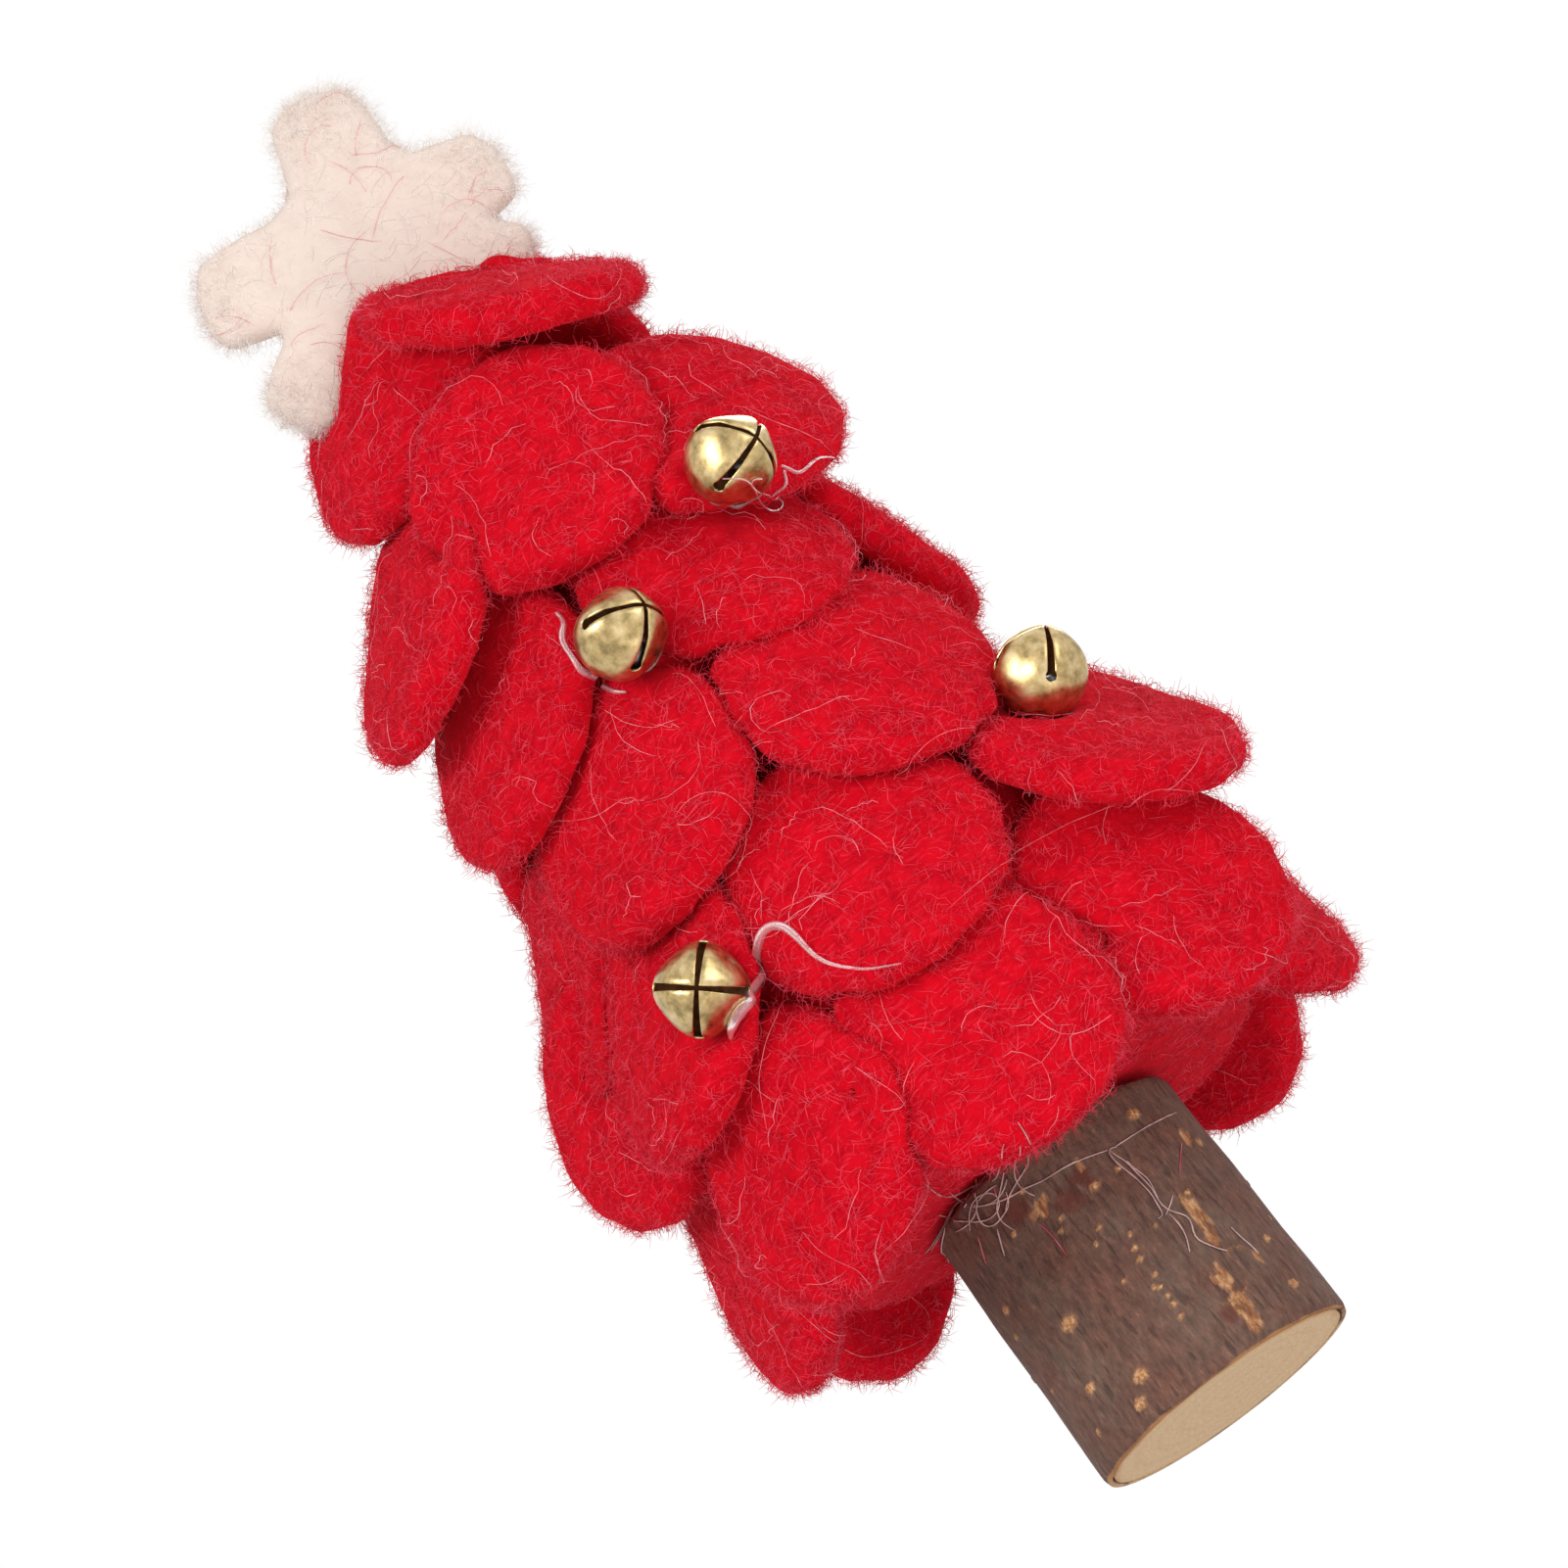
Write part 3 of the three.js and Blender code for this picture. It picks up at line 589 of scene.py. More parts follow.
def clouded_finish(name, scale, detail, stops, shader):
    """A finish of one material that clouds from one colour into another."""
    finish, tree, place = new_finish(name)
    cloud = add_node(tree, "TexNoise", {"Vector": place, "Scale": scale, "Detail": detail})
    colour = add_node(tree, "ValToRGB", {"Fac": cloud}, stops)
    shade = add_node(tree, "BsdfPrincipled", {"Base Color": colour, **shader})
    add_node(tree, "OutputMaterial", {"Surface": shade})
    return finish


def fibre_finish(name, dark, light):
    """Wool fibre: matt, and lighter or darker every 1.5 mm or so, as dyed wool is."""
    wool = {"Roughness": 0.85, "Specular IOR Level": 0.12}
    return clouded_finish(name, 700, 2, [(0.38, dark), (0.66, light)], wool)


# Wool felt: matt, soft and slightly hairy, so it lights up at its edges. Matted fibres about
# 0.06 mm thick lie in all directions, here drawn about three times as wide so that they show.
def felt_finish(name, deep, body, pale, tint, streak_share, depth):
    """Felt of three shades, lit at its edges in a tint, with fibres that stand out by a depth."""
    felt, tree, place = new_finish(name)
    bend = add_node(tree, "TexNoise", {"Vector": place, "Scale": 330, "Detail": 1})
    bent = add_node(
        tree,
        "VectorMath",
        {0: bend.outputs["Color"], 1: (0.0022, 0.0022, 0.0022), 2: place},
        operation="MULTIPLY_ADD",
    )
    strands = []
    for turn in ((0.3, 0.5, 0.2), (1.4, 0.2, 1.1), (0.6, 1.3, 2.2), (2.2, 0.9, 0.7)):
        strand_way = {"Vector": bent, "Rotation": turn, "Scale": (0.07, 1, 1)}
        along = add_node(tree, "Mapping", strand_way)
        strands.append(add_node(tree, "TexNoise", {"Vector": along, "Scale": 2300, "Detail": 2}))
    top = strands[0]
    for strand in strands[1:]:
        top = add_node(tree, "Math", {0: top, 1: strand}, operation="MAXIMUM")
    cloud_scale = {"Vector": place, "Scale": 420, "Detail": 6, "Roughness": 0.72}
    cloud = add_node(tree, "TexNoise", cloud_scale)
    ground = add_node(tree, "ValToRGB", {"Fac": cloud}, [(0.38, deep), (0.56, body)])
    lit_span = {"Value": top, "From Min": 0.62, "From Max": 0.8, "To Max": streak_share}
    lit = add_node(tree, "MapRange", lit_span)
    colour = add_node(tree, "Mix", {"Factor": lit, 6: ground, 7: pale}, data_type="RGBA")
    bump = add_node(tree, "Bump", {"Height": top, "Strength": 0.8, "Distance": depth})
    wool = {"Base Color": colour, "Roughness": 0.95, "Specular IOR Level": 0.05, "Normal": bump}
    sheen = {"Sheen Weight": 0.12, "Sheen Roughness": 0.5, "Sheen Tint": tint}
    shade = add_node(tree, "BsdfPrincipled", {**wool, **sheen})
    add_node(tree, "OutputMaterial", {"Surface": shade})
    return felt


red_felt = felt_finish("red wool felt", "#b80419", "#cf071c", "#e62b42", "#ff6072", 0.7, 0.0002)
# The red fibres' colours are painted paler than the felt, as painted light for the light through them.
red_fibre = fibre_finish("red wool fibre", "#d31b32", "#f05065")
fibre_share = 1
fibre_width = 0.00008

core_piece = soften("core_cone", "core_felt_cone", 0.0011, 2)
roughen(core_piece, [(0.0003, 0.006)], 1)
base_piece = soften("base_felt", "base_felt_disc", 0.0007, 3)
roughen(base_piece, [(0.0003, 0.006), (0.0001, 0.0018)], 2)
for piece, node, count in ((core_piece, "core_cone", 6000), (base_piece, "base_felt", 2600)):
    piece.data.materials.append(red_felt)
    fibres = lying_fibres(piece.data, int(count * fibre_share), 11, 0.0018, 0.0045, lift=0.0005)
    fibres += standing_fibres(piece.data, int(count * fibre_share), 12, 0.0005, 0.0014)
    fuzz = strand_piece(node + "_fuzz", fibres, fibre_width, red_fibre)
    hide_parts(node)
    for felt in (piece, fuzz):
        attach(felt, "tree")


# Petals: discs 29.6 mm across, cut from wool felt 3 mm thick and hot-glued to the core in rows, from
# the skirt up. Each disc bends around the tree and hides the glued top edge of the row below it.
petal_swell, petal_fullness = 0.0006, 0.00038
petal_lying, petal_standing = 1150, 2100
petal_meshes = []
for index, node in enumerate(sorted(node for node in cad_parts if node.startswith("petal_"))):
    petal = soften(node, node + "_felt", 0.0006, 12)
    plump(petal, node, petal_swell)
    roughen(petal, [(0.0005, 0.009), (0.00007, 0.0016)], index + 5, petal_fullness)
    petal.data.materials.append(red_felt)
    petal_meshes.append(petal.data)
    fibres = lying_fibres(
        petal.data, int(petal_lying * fibre_share), index + 100, 0.0018, 0.0048, lift=0.0007
    )
    fibres += standing_fibres(petal.data, int(petal_standing * fibre_share), index + 300, 0.0006, 0.0023)
    fuzz = strand_piece(node + "_fuzz", fibres, fibre_width, red_fibre)
    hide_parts(node)
    for felt in (petal, fuzz):
        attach(felt, "tree")


# Star: cut by hand from cream wool felt 3.6 mm thick, and glued upright on the cone's top behind the
# first discs. Its cut edge has gone soft, and a few red fibres have strayed onto it.
star_lying, star_standing = 500, 7000
cream_felt = felt_finish("cream wool felt", "#dac8bd", "#dfcec3", "#e6d8ce", "#ffffff", 0.25, 0.00004)
# The cream fibres are painted near white, paler than the felt, as painted light for the light through them;
# crowded at the rim, they whiten its soft edge.
cream_fibre = fibre_finish("cream wool fibre", "#f4e9e1", "#fffaf6")
star = soften("star", "star_felt", 0.00055, 7)
roughen(star, [(0.0003, 0.009)], 3, 0.0001)
star.data.materials.append(cream_felt)
fibres = lying_fibres(star.data, int(star_lying * fibre_share), 21, 0.002, 0.006, lift=0.0001, steps=6)
fibres += standing_fibres(star.data, int(star_standing * fibre_share), 22, 0.0008, 0.0026, rim=80)
star_fuzz = strand_piece("star_fuzz", fibres, 0.00006, cream_fibre)
red_stray = fibre_finish("red stray fibre", "#d8465c", "#ef8b98")
strays = lying_fibres(star.data, 50, 23, 0.003, 0.009, lift=0.0006, steps=7)
star_strays = strand_piece("star_red_strays", strays, 0.00005, red_stray)
for piece in (star, star_fuzz, star_strays):
    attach(piece, "tree")
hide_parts("star")


# Hot glue: clear, faintly milky and set in smooth lumps, so that it shows as a pale gleam on felt. Its pink
# is painted light, for the red felt seen through it. Its milkiness comes and goes every 2 mm or so.
clear_plastic = {"Roughness": 0.25, "IOR": 1.48, "Transmission Weight": 0.75}
hot_glue = clouded_finish("set hot glue", 500, 2, [(0.35, "#eab6c0"), (0.65, "#f5dcdf")], clear_plastic)
for node in ("trunk_glue", "star_glue"):
    pad = soften(node, node + "_pad", 0.0004, 2)
    roughen(pad, [(0.0001, 0.003)], 4)
    pad.data.materials.append(hot_glue)
    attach(pad, "tree")
    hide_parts(node)


# Bells: 10 mm craft jingle bells. The shell is thin brass pressed to a ball, with two crossing slots
# in its mouth half, turned-in lips along them and flattened lobes between them. A wire eye on the
# crown is sunk in the glue.
bell_radius = 0.005
bell_wall = 0.00025
slot_stop, slot_length = 0.0006, 0.012
slot_middle_width, slot_end_width, slot_hole_width = 0.00045, 0.00095, 0.0012
lip_depth, lip_width, lip_fade = 0.0002, 0.0005, 0.0015
lobe_flatness, lobe_reach, mouth_point, mouth_reach = 0.1, 145, 0.05, 20
pellet_radius, pellet_drop = 0.0018, 0.00245
eye_radius, eye_wire = 0.0012, 0.0007
dab_radius, dab_thickness = 0.003, 0.0012
# Each bell's centre, the spot on the felt where its glue sits, and its turn.
bells = {
    "a": ((0.017532, -0.02659, 0.105977), (0.016042, -0.023271, 0.104314), (0.77, -0.503, -0.386, 0.075)),
    "b": ((-0.002624, -0.02925, 0.097015), (-0.002398, -0.025503, 0.095634), (0.709, -0.373, -0.587, -0.117)),
    "c": ((0.029735, -0.020582, 0.06879), (0.027272, -0.01829, 0.066628), (0.042, 0.704, -0.566, -0.426)),
    "d": ((-0.01775, -0.033836, 0.059911), (-0.016045, -0.030667, 0.058165), (0.693, -0.584, -0.259, -0.336)),
}


def carve(piece, tools):
    """Cuts the tools' shapes out of a piece, and takes the tools away."""
    for tool in tools:
        cut = piece.modifiers.new("cut", "BOOLEAN")
        cut.operation = "DIFFERENCE"
        cut.solver = "MANIFOLD"
        cut.object = tool
    settle(piece)
    for tool in tools:
        bpy.data.objects.remove(tool)


# Brass: plated, tumbled and handled, so it is satin and a little greenish, with dulled spots of about
# 1.5 mm and fine scratches, drawn several times wider than they are, at 0.4 mm, so that they show.
brass, tree, place = new_finish("pressed brass")
wear = add_node(tree, "TexNoise", {"Vector": place, "Scale": 650, "Detail": 4, "Roughness": 0.6})
rub_way = {"Vector": place, "Rotation": (0.4, 0.9, 0.2), "Scale": (0.15, 1, 1)}
rub = add_node(tree, "Mapping", rub_way)
lines = add_node(tree, "TexNoise", {"Vector": rub, "Scale": 2600, "Detail": 2})
brass_stops = [(0.34, "#98845a"), (0.5, "#c5aa76"), (0.66, "#dac599")]
colour = add_node(tree, "ValToRGB", {"Fac": wear}, brass_stops)
rough = add_node(tree, "MapRange", {"Value": wear, "To Min": 0.2, "To Max": 0.42})
bump = add_node(tree, "Bump", {"Height": lines, "Strength": 0.25, "Distance": 0.00003})
shade = add_node(
    tree, "BsdfPrincipled", {"Base Color": colour, "Metallic": 1, "Roughness": rough, "Normal": bump}
)
add_node(tree, "OutputMaterial", {"Surface": shade})

# The shell's inside: dull, rough and painted dark brown in spots of about 1 mm, as painted shade for the
# hollow seen through the slots.
inside = clouded_finish(
    "brass inside painted in shade", 900, 3, [(0.4, "#7d4a25"), (0.6, "#a36a38")], {"Roughness": 0.8}
)

# Pellets: tumbled steel, dull grey with spots of about 1 mm, seen only through the slots.
steel = clouded_finish(
    "tumbled steel", 900, 3, [(0.4, "#77777a"), (0.6, "#a2a2a0")], {"Metallic": 1, "Roughness": 0.35}
)

work = bmesh.new()
bmesh.ops.create_uvsphere(work, u_segments=96, v_segments=64, radius=bell_radius)
for vertex in work.verts:
    x, y, z = vertex.co / bell_radius
    from_mouth = math.degrees(math.acos(max(-1, min(1, -z))))
    between = math.sin(2 * math.atan2(y, x)) ** 2
    flat = lobe_flatness * math.sin(math.pi * min(1, from_mouth / lobe_reach)) ** 2 * between
    point = mouth_point * math.exp(-((from_mouth / mouth_reach) ** 2))
    near = bell_radius * min(abs(x), abs(y))
    below = min(1, max(0, -vertex.co.z - 0.5 * slot_stop) / lip_fade)
    lip = lip_depth / bell_radius * below * math.exp(-((near / lip_width) ** 2))
    vertex.co *= 1 - flat + point - lip
shell_model = mesh_piece("bell_shell_model", work, brass)
shell_model.data.materials.append(inside)
wall = shell_model.modifiers.new("wall", "SOLIDIFY")
wall.thickness = bell_wall
wall.offset = -1
wall.material_offset = 1
slots = []
for turn in (0, math.pi / 2):
    work = bmesh.new()
    bmesh.ops.create_cube(work, size=1)
    bmesh.ops.scale(work, vec=(slot_length, 1, 0.006), verts=work.verts)
    bmesh.ops.translate(work, vec=(0, 0, -slot_stop - 0.003), verts=work.verts)
    bmesh.ops.bisect_plane(
        work, geom=work.verts[:] + work.edges[:] + work.faces[:], plane_co=(0, 0, 0), plane_no=(1, 0, 0)
    )
    for vertex in work.verts:
        wide = slot_middle_width if abs(vertex.co.x) < 1e-6 else slot_end_width
        vertex.co.y = math.copysign(wide / 2, vertex.co.y)
    bmesh.ops.rotate(work, matrix=Matrix.Rotation(turn, 3, "Z"), verts=work.verts)
    slots.append(mesh_piece("slot", work))
    work = bmesh.new()
    half = slot_hole_width / 2
    bmesh.ops.create_cone(work, cap_ends=True, segments=16, radius1=half, radius2=half, depth=slot_length)
    bmesh.ops.rotate(work, matrix=Matrix.Rotation(math.pi / 2, 3, "Y"), verts=work.verts)
    bmesh.ops.translate(work, vec=(0, 0, -slot_stop - 0.0002), verts=work.verts)
    bmesh.ops.rotate(work, matrix=Matrix.Rotation(turn, 3, "Z"), verts=work.verts)
    slots.append(mesh_piece("slot_hole", work))
carve(shell_model, slots)

eye_height = bell_radius - 0.0001
work = bmesh.new()
bmesh.ops.create_circle(work, cap_ends=True, segments=12, radius=eye_wire / 2)
bmesh.ops.translate(work, verts=work.verts, vec=(eye_radius, 0, eye_height))
bmesh.ops.spin(
    work,
    geom=work.verts[:] + work.edges[:] + work.faces[:],
    cent=(0, 0, eye_height),
    axis=(0, 1, 0),
    angle=-math.pi,
    steps=16,
)
bmesh.ops.remove_doubles(work, verts=work.verts, dist=1e-6)
eye_model = mesh_piece("bell_eye_model", work, brass)

shell_meshes = []
for index, (letter, (centre, seat, turn)) in enumerate(bells.items()):
    bell = "bell_" + letter
    place = Matrix.Translation(centre) @ Quaternion(turn).normalized().to_matrix().to_4x4()
    for model, kind in ((shell_model, "_shell"), (eye_model, "_eye")):
        mesh = model.data.copy()
        mesh.transform(place)
        piece = bpy.data.objects.new(bell + kind + "_brass", mesh)
        scene.collection.objects.link(piece)
        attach(piece, "tree")
        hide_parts(bell + kind)
        if kind == "_shell":
            shell_meshes.append(mesh)
    work = bmesh.new()
    bmesh.ops.create_uvsphere(work, u_segments=32, v_segments=20, radius=pellet_radius)
    bmesh.ops.translate(work, verts=work.verts, vec=Vector(centre) - Vector((0, 0, pellet_drop)))
    pellet = mesh_piece(bell + "_pellet_ball", work, steel)
    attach(pellet, "pellet_" + letter)
    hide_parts(bell + "_pellet")
    out = (Vector(centre) - Vector(seat)).normalized()
    work = bmesh.new()
    bmesh.ops.create_icosphere(work, subdivisions=4, radius=1)
    bmesh.ops.scale(work, verts=work.verts, vec=(dab_radius, dab_radius, dab_thickness))
    facing = out.to_track_quat("Z", "Y").to_matrix()
    bmesh.ops.rotate(work, verts=work.verts, matrix=facing)
    bmesh.ops.translate(work, verts=work.verts, vec=seat)
    dab = mesh_piece(bell + "_glue_dab", work, hot_glue)
    roughen(dab, [(0.0006, 0.0022)], index + 60)
    work = bmesh.new()
    bmesh.ops.create_icosphere(work, subdivisions=5, radius=bell_radius - 0.5 * bell_wall)
    bmesh.ops.translate(work, verts=work.verts, vec=centre)
    carve(dab, [mesh_piece("ball", work)])
    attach(dab, "tree")
    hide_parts(bell + "_glue")
bpy.data.objects.remove(shell_model)
bpy.data.objects.remove(eye_model)


# Glue strings: drawn out as the glue gun was pulled away, and set where they fell. The thickest runs
# from the lower left bell over the felt, and thin ones stick out beside the others.
def laid_line(points, surface, gap, step=0.6, least=0.95 * bell_radius):
    """A line laid on a surface, over points of the view: mm right of and above its aim, in turn."""
    points = list(zip(points[::2], points[1::2]))
    spots = []
    for (x, y), (next_x, next_y) in zip(points, points[1:]):
        steps = max(1, round(math.hypot(next_x - x, next_y - y) / step))
        spots += [(x + (next_x - x) * i / steps, y + (next_y - y) * i / steps) for i in range(steps)]
    line = []
    centres = [Vector(centre) for centre, _, _ in bells.values()]
    for x, y in spots + [points[-1]]:
        sight = view_aim + 0.001 * x * view_right + 0.001 * y * view_up - view_place
        sight.normalize()
        spot, normal, _, _ = surface.ray_cast(view_place, sight)
        if spot is None:
            continue
        # Where the view goes through a bell's slot, the line runs across the slot on the ball.
        for centre in centres:
            ahead = (centre - view_place).dot(sight)
            half = bell_radius**2 - (centre - view_place).length_squared + ahead**2
            if half > 0 and (spot - centre).dot(sight) > 0:
                spot = view_place + (ahead - math.sqrt(half)) * sight
                normal = (spot - centre) / bell_radius
        line.append(spot + gap * normal)
    for _ in range(4):
        middles = [(a + 2 * b + c) / 4 for a, b, c in zip(line, line[1:], line[2:])]
        line = [line[0]] + middles + [line[-1]]
    for i, spot in enumerate(line):
        near, normal, _, _ = surface.find_nearest(spot)
        if (spot - near).dot(normal) < 0.6 * gap:
            line[i] = near + gap * normal
        for centre in centres:
            out = line[i] - centre
            if out.length < least:
                line[i] = centre + least * out.normalized()
    return line


def tapered(line, shares):
    """Width shares along a line, read off an even row of shares."""
    last = len(shares) - 1
    return np.interp(np.linspace(0, last, len(line)), range(last + 1), shares).tolist()


felt_surface = surface_of(petal_meshes)
dressed_surface = surface_of(petal_meshes + shell_meshes)
glue_strings = [
    (0.0009, (0.5, 1.3, 1.5, 1.2, 0.9), [-21, -18.6, -20.4, -17, -18.4, -16.2, -16.2, -15.6, -14.3, -14.8]),
    (0.0009, (0.9, 1.2, 1.1, 0.7, 0.45, 0.32, 0.2), [
        -14.3, -14.8, -12.7, -12.6, -11.3, -11.3, -9.9, -11.5, -8.9, -12.8, -8.7, -14.7, -8.6, -16.5,
        -8.2, -17.8, -7.2, -19.1, -4.8, -21.4, -1.5, -22.9,
    ]),
    (0.0008, (0.5, 1, 0.7, 1.2, 1, 0.4), [
        -8.5, 29.1, -8.1, 28.3, -8.7, 27.5, -9.6, 27.1, -10, 26, -10, 25, -10.2, 23.6, -10.4, 22.1,
        -9.7, 20.5, -8.9, 18.9, -7.6, 17.9,
    ]),
    (0.0004, (0.7, 1.2, 1, 0.8, 0.4), [
        20.3, 27.5, 20.9, 26.8, 20.9, 25.9, 21.2, 25.5, 21.9, 25.6, 22.7, 25.9, 23.6, 26, 24.6, 25.7,
        25.3, 24.9, 25.9, 23.9,
    ]),
    (0.0004, (0.8, 1, 0.6), [
        20.2, 27, 19.6, 26.1, 20.1, 25.8, 19.4, 25.4, 18.7, 25.6, 18.2, 26, 17.6, 25.6,
    ]),
    (0.00022, (0.7, 1, 1, 0.8), [
        14.5, 30.2, 15.7, 29.3, 16.6, 28.8, 16.7, 28.2, 16.5, 27.2, 16.1, 25.9, 16.1, 24.7, 16.6, 23.8,
        17.6, 23.6, 18.4, 23.8, 18.4, 24.5, 17.7, 25.3, 16.9, 26.4, 16.5, 27.3, 16.1, 28, 16.4, 28.5,
        17.2, 28.5, 17.8, 27.7,
    ]),
]
for index, (thickness, shares, points) in enumerate(glue_strings):
    line = laid_line(points, dressed_surface, 0.45 * thickness)
    path = (line, tapered(line, shares))
    string = strand_piece("glue_string_%d" % (index + 1), [path], thickness, hot_glue, sides=10)
    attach(string, "tree")


# Stray fibres: long pale ones from other wool, lying loosely over the felt, and thin twisted threads
# and red wool caught on the trunk's bark under the felt.
pale_fibre = fibre_finish("pale stray fibre", "#ee7484", "#fab2bb")
grey_thread = fibre_finish("greyish stray thread", "#a88884", "#d2b2ae")
strays_each = 34
felt_strays = [
    [-27, -39.9, -27, -42.3, -25.8, -45, -24.1, -47.6, -23.1, -50.6, -21.9, -54.5, -23.1, -56.4,
     -24.6, -56.7, -27.5, -55.9, -30.6, -54.3, -31.7, -52.1, -32.2, -48.5, -32.7, -44.3],
    [-23.5, -28.7, -21.1, -23.9, -17.8, -21, -15.1, -19.5, -13.2, -18.9, -12.7, -19.9],
    [-35.7, -29.3, -36.2, -32.6, -35.7, -35.8, -34.5, -38.8],
    [-14.6, -1.2, -13.9, -3.7, -11.9, -4.9, -9.2, -4.7, -6.6, -2.6, -5.2, -0.1, -5.5, 2.7, -7.2, 4.2,
     -9.6, 4.6, -11.6, 3.8],
    [-22.6, 12.3, -20.7, 10.4, -17.9, 9, -14.3, 8.9, -13.1, 8.2, -13.6, 7.2],
    [15.9, 8.5, 17.1, 6.4, 18.5, 4.7, 19.3, 3.1],
    [9.5, -7, 12.1, -5.8, 14.8, -5.5, 17.4, -5.9, 19.9, -7.2],
    [5.3, -21.6, 13.7, -20.8, 21.5, -21.9, 25.5, -23, 31.6, -24.2, 34.6, -26.7],
    [20.6, 34.8, 21.2, 33.5, 21.9, 32.2, 22.8, 30.7, 23.9, 29.1, 24.7, 27.6, 25.1, 26.4, 25.3, 25.3],
    [23.7, -8.7, 24.8, -9, 25.9, -9.6, 26.9, -10.3, 28, -11.8, 29.1, -13],
]
paths = []
for points in felt_strays:
    line = laid_line(points, felt_surface, 0.0005)
    paths.append((line, tapered(line, (0.5, 1, 1, 1, 0.5))))
for index, mesh in enumerate(petal_meshes):
    paths += lying_fibres(mesh, strays_each, index + 700, 0.003, 0.012, lift=0.0009, steps=8)
long_strays = strand_piece("long_pale_fibres", paths, 0.00006, pale_fibre)
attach(long_strays, "tree")

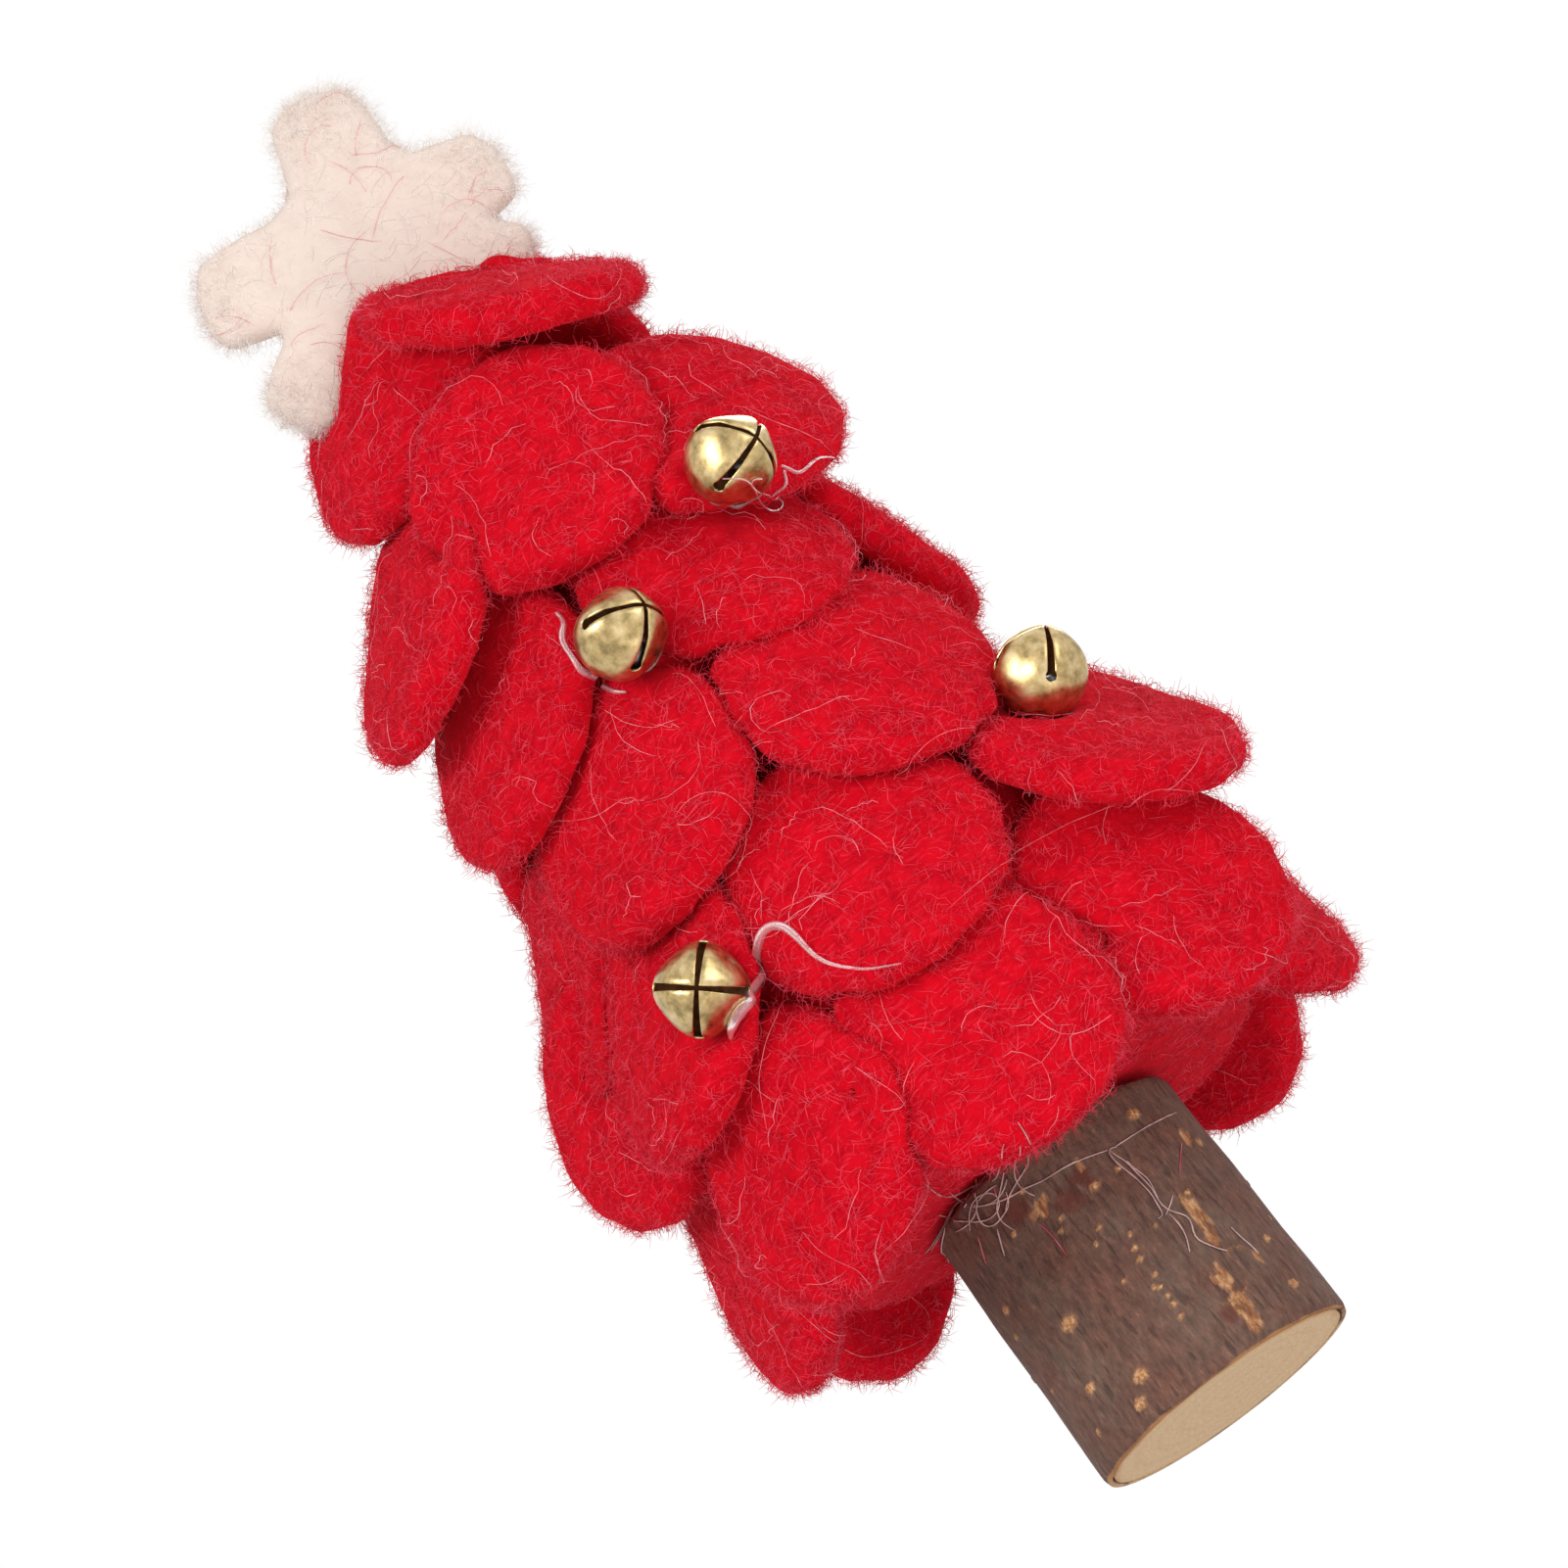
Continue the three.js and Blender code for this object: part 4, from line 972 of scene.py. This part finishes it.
trunk_threads = [
    [-13.7, -43.4, -13.5, -45, -12.9, -46, -11.8, -46.4, -10.7, -46.5, -9.5, -46.6, -8.4, -47.1,
     -7.7, -47.9, -7.3, -47.9, -6.6, -47.4, -6.1, -46.7, -5.8, -46.1, -5.2, -45.6, -4.4, -45.1],
    [-18.3, -49.3, -17.2, -49.1, -16.1, -48.7, -15.1, -48.3, -13.9, -47.7, -13, -47.1, -12.1, -46.9,
     -11.2, -47, -10.6, -47.4, -10.4, -48.1, -10.8, -49, -11.4, -49.7, -11.7, -50.4, -11.5, -51.2,
     -10.9, -51.6, -10, -51.6, -9, -51.2, -8, -51, -7.6, -50.8, -7.4, -50, -7.3, -49.4],
    [-18, -49.3, -16.7, -48.9, -15.7, -48.5, -14.5, -48, -13.6, -47.5, -12.5, -46.9, -11.5, -46.9,
     -11.2, -47.4, -11.1, -48, -11.6, -48.4, -12.1, -48.3, -11.9, -47.9, -11.4, -47.9],
    [-17.5, -49.4, -16.3, -49, -15.1, -48.4, -14, -47.9, -13, -47.3],
    [-7.9, -48.2, -8.4, -47.6, -9, -47.2, -9.8, -47.2, -10.5, -47.5, -11.1, -48.1, -11.3, -48.9],
    [-7.7, -48.2, -8.4, -48, -9.1, -47.9, -9.6, -48.3, -10.2, -48.4],
    [-1.8, -44.2, -1.8, -45.7, -2.1, -46.9, -2.9, -47.6, -3.5, -48.5, -4.4, -48.8, -5.5, -49.2, -6.6, -49.6,
     -7.8, -50.2, -8.5, -51],
    [-2.7, -46.7, -3.2, -47.7, -3.4, -48.7, -4, -48.8],
    [-14.8, -48.6, -15.6, -49.3, -16.3, -50.4, -16.8, -51.6],
    [-10.4, -52, -10.9, -53.2, -11.5, -54.8],
    [-11.1, -48.6, -10, -49.2, -9, -49.7, -7.8, -50, -6.3, -50.3, -5, -50.3, -3.9, -50.9, -2.5, -50.9,
     -1.6, -51, -0.3, -51.1, 0.8, -51.4, 1.9, -51.7, 3.1, -52.1, 4, -52.4],
    [4.7, -52.6, 6.4, -52.7, 7.6, -52.8, 8.9, -52.9, 10, -53.1, 11.2, -53.3, 12.3, -53.6],
    [5, -52.7, 4.6, -52.2, 4, -52.1, 3.8, -52.5, 3.8, -53.1, 4, -53.9, 4.1, -54.8, 4.5, -55.8, 4.7, -56.6,
     4.8, -57.6, 4.9, -58.5, 5, -59.4, 4.7, -60.3, 4.7, -61.2, 4.9, -61.9, 4.3, -61.9, 3.9, -61.5],
    [4.2, -52.7, 4.3, -53.3, 4.8, -54.1, 5, -55.1, 5, -56.1, 5.2, -57, 5.3, -58, 5.4, -58.9, 5.1, -60,
     4.9, -60.6, 5.2, -61.2, 5.5, -61.9, 6.2, -62.6, 6.8, -63, 6.9, -63.7, 6.6, -64.3, 5.9, -64.8,
     5.6, -65.4, 5.9, -66.1, 6.6, -67, 7.1, -68, 7.5, -68.6, 7.8, -68.8],
    [5, -54.6, 5.1, -55.7, 5.4, -56.8, 5.8, -57.1, 5.7, -57.8, 5.4, -58.7, 5.2, -59.9],
    [5.2, -61.9, 5.4, -62.7, 5.4, -63.7, 5.3, -64.8, 4.8, -65.8, 4.5, -66.4],
    [6.7, -60.5, 6.1, -61.1, 5.5, -61.6, 4.8, -61.7],
    [9.6, -67, 9.7, -68.2, 10, -69.3, 10.3, -70.3, 10.3, -71.1],
    [-14.6, -46.9, -13.2, -48.6, -11.9, -50.1, -10.2, -50.9, -8.6, -50.4, -7.9, -49.1, -8.8, -48.1,
     -10.4, -47.9, -11.9, -48.8, -12.8, -50.4],
    [-12.2, -45.6, -11.9, -47.2, -10.9, -48.7, -9.4, -49.6, -7.6, -49.4, -6.4, -48.4],
    [-9.1, -46.2, -9.8, -47.9, -11, -49.3, -12.6, -49.9, -14.1, -49.6],
    [-6.2, -47.6, -7.6, -48.9, -9.3, -50.2, -9.7, -51.7, -9.1, -53.2],
    [-3.1, -46.3, -4.6, -47.2, -5.7, -48.6, -5.9, -50.2, -5.1, -51.6],
]
red_threads = [
    [10.8, -56.6, 10.1, -57.4, 9.2, -58.3, 8.6, -59.2],
    [-6.5, -54.4, -6.2, -55.4, -6.1, -57, -6.2, -58.8],
    [-12.5, -51.4, -13, -52.7, -13.6, -54.3],
    [-8, -48.2, -8.4, -49, -8.5, -49.9],
]
lower_surface = surface_of(petal_meshes + [base_piece.data, bark_piece.data])
for name, group, thickness, finish in (
    ("trunk_threads", trunk_threads, 0.00018, grey_thread),
    ("trunk_red_fibres", red_threads, 0.0001, red_stray),
):
    paths = []
    for points in group:
        line = laid_line(points, lower_surface, 0.00015)
        paths.append((line, tapered(line, (0.6, 1, 0.8, 1, 0.6))))
    threads = strand_piece(name, paths, thickness, finish, sides=5)
    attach(threads, "tree")
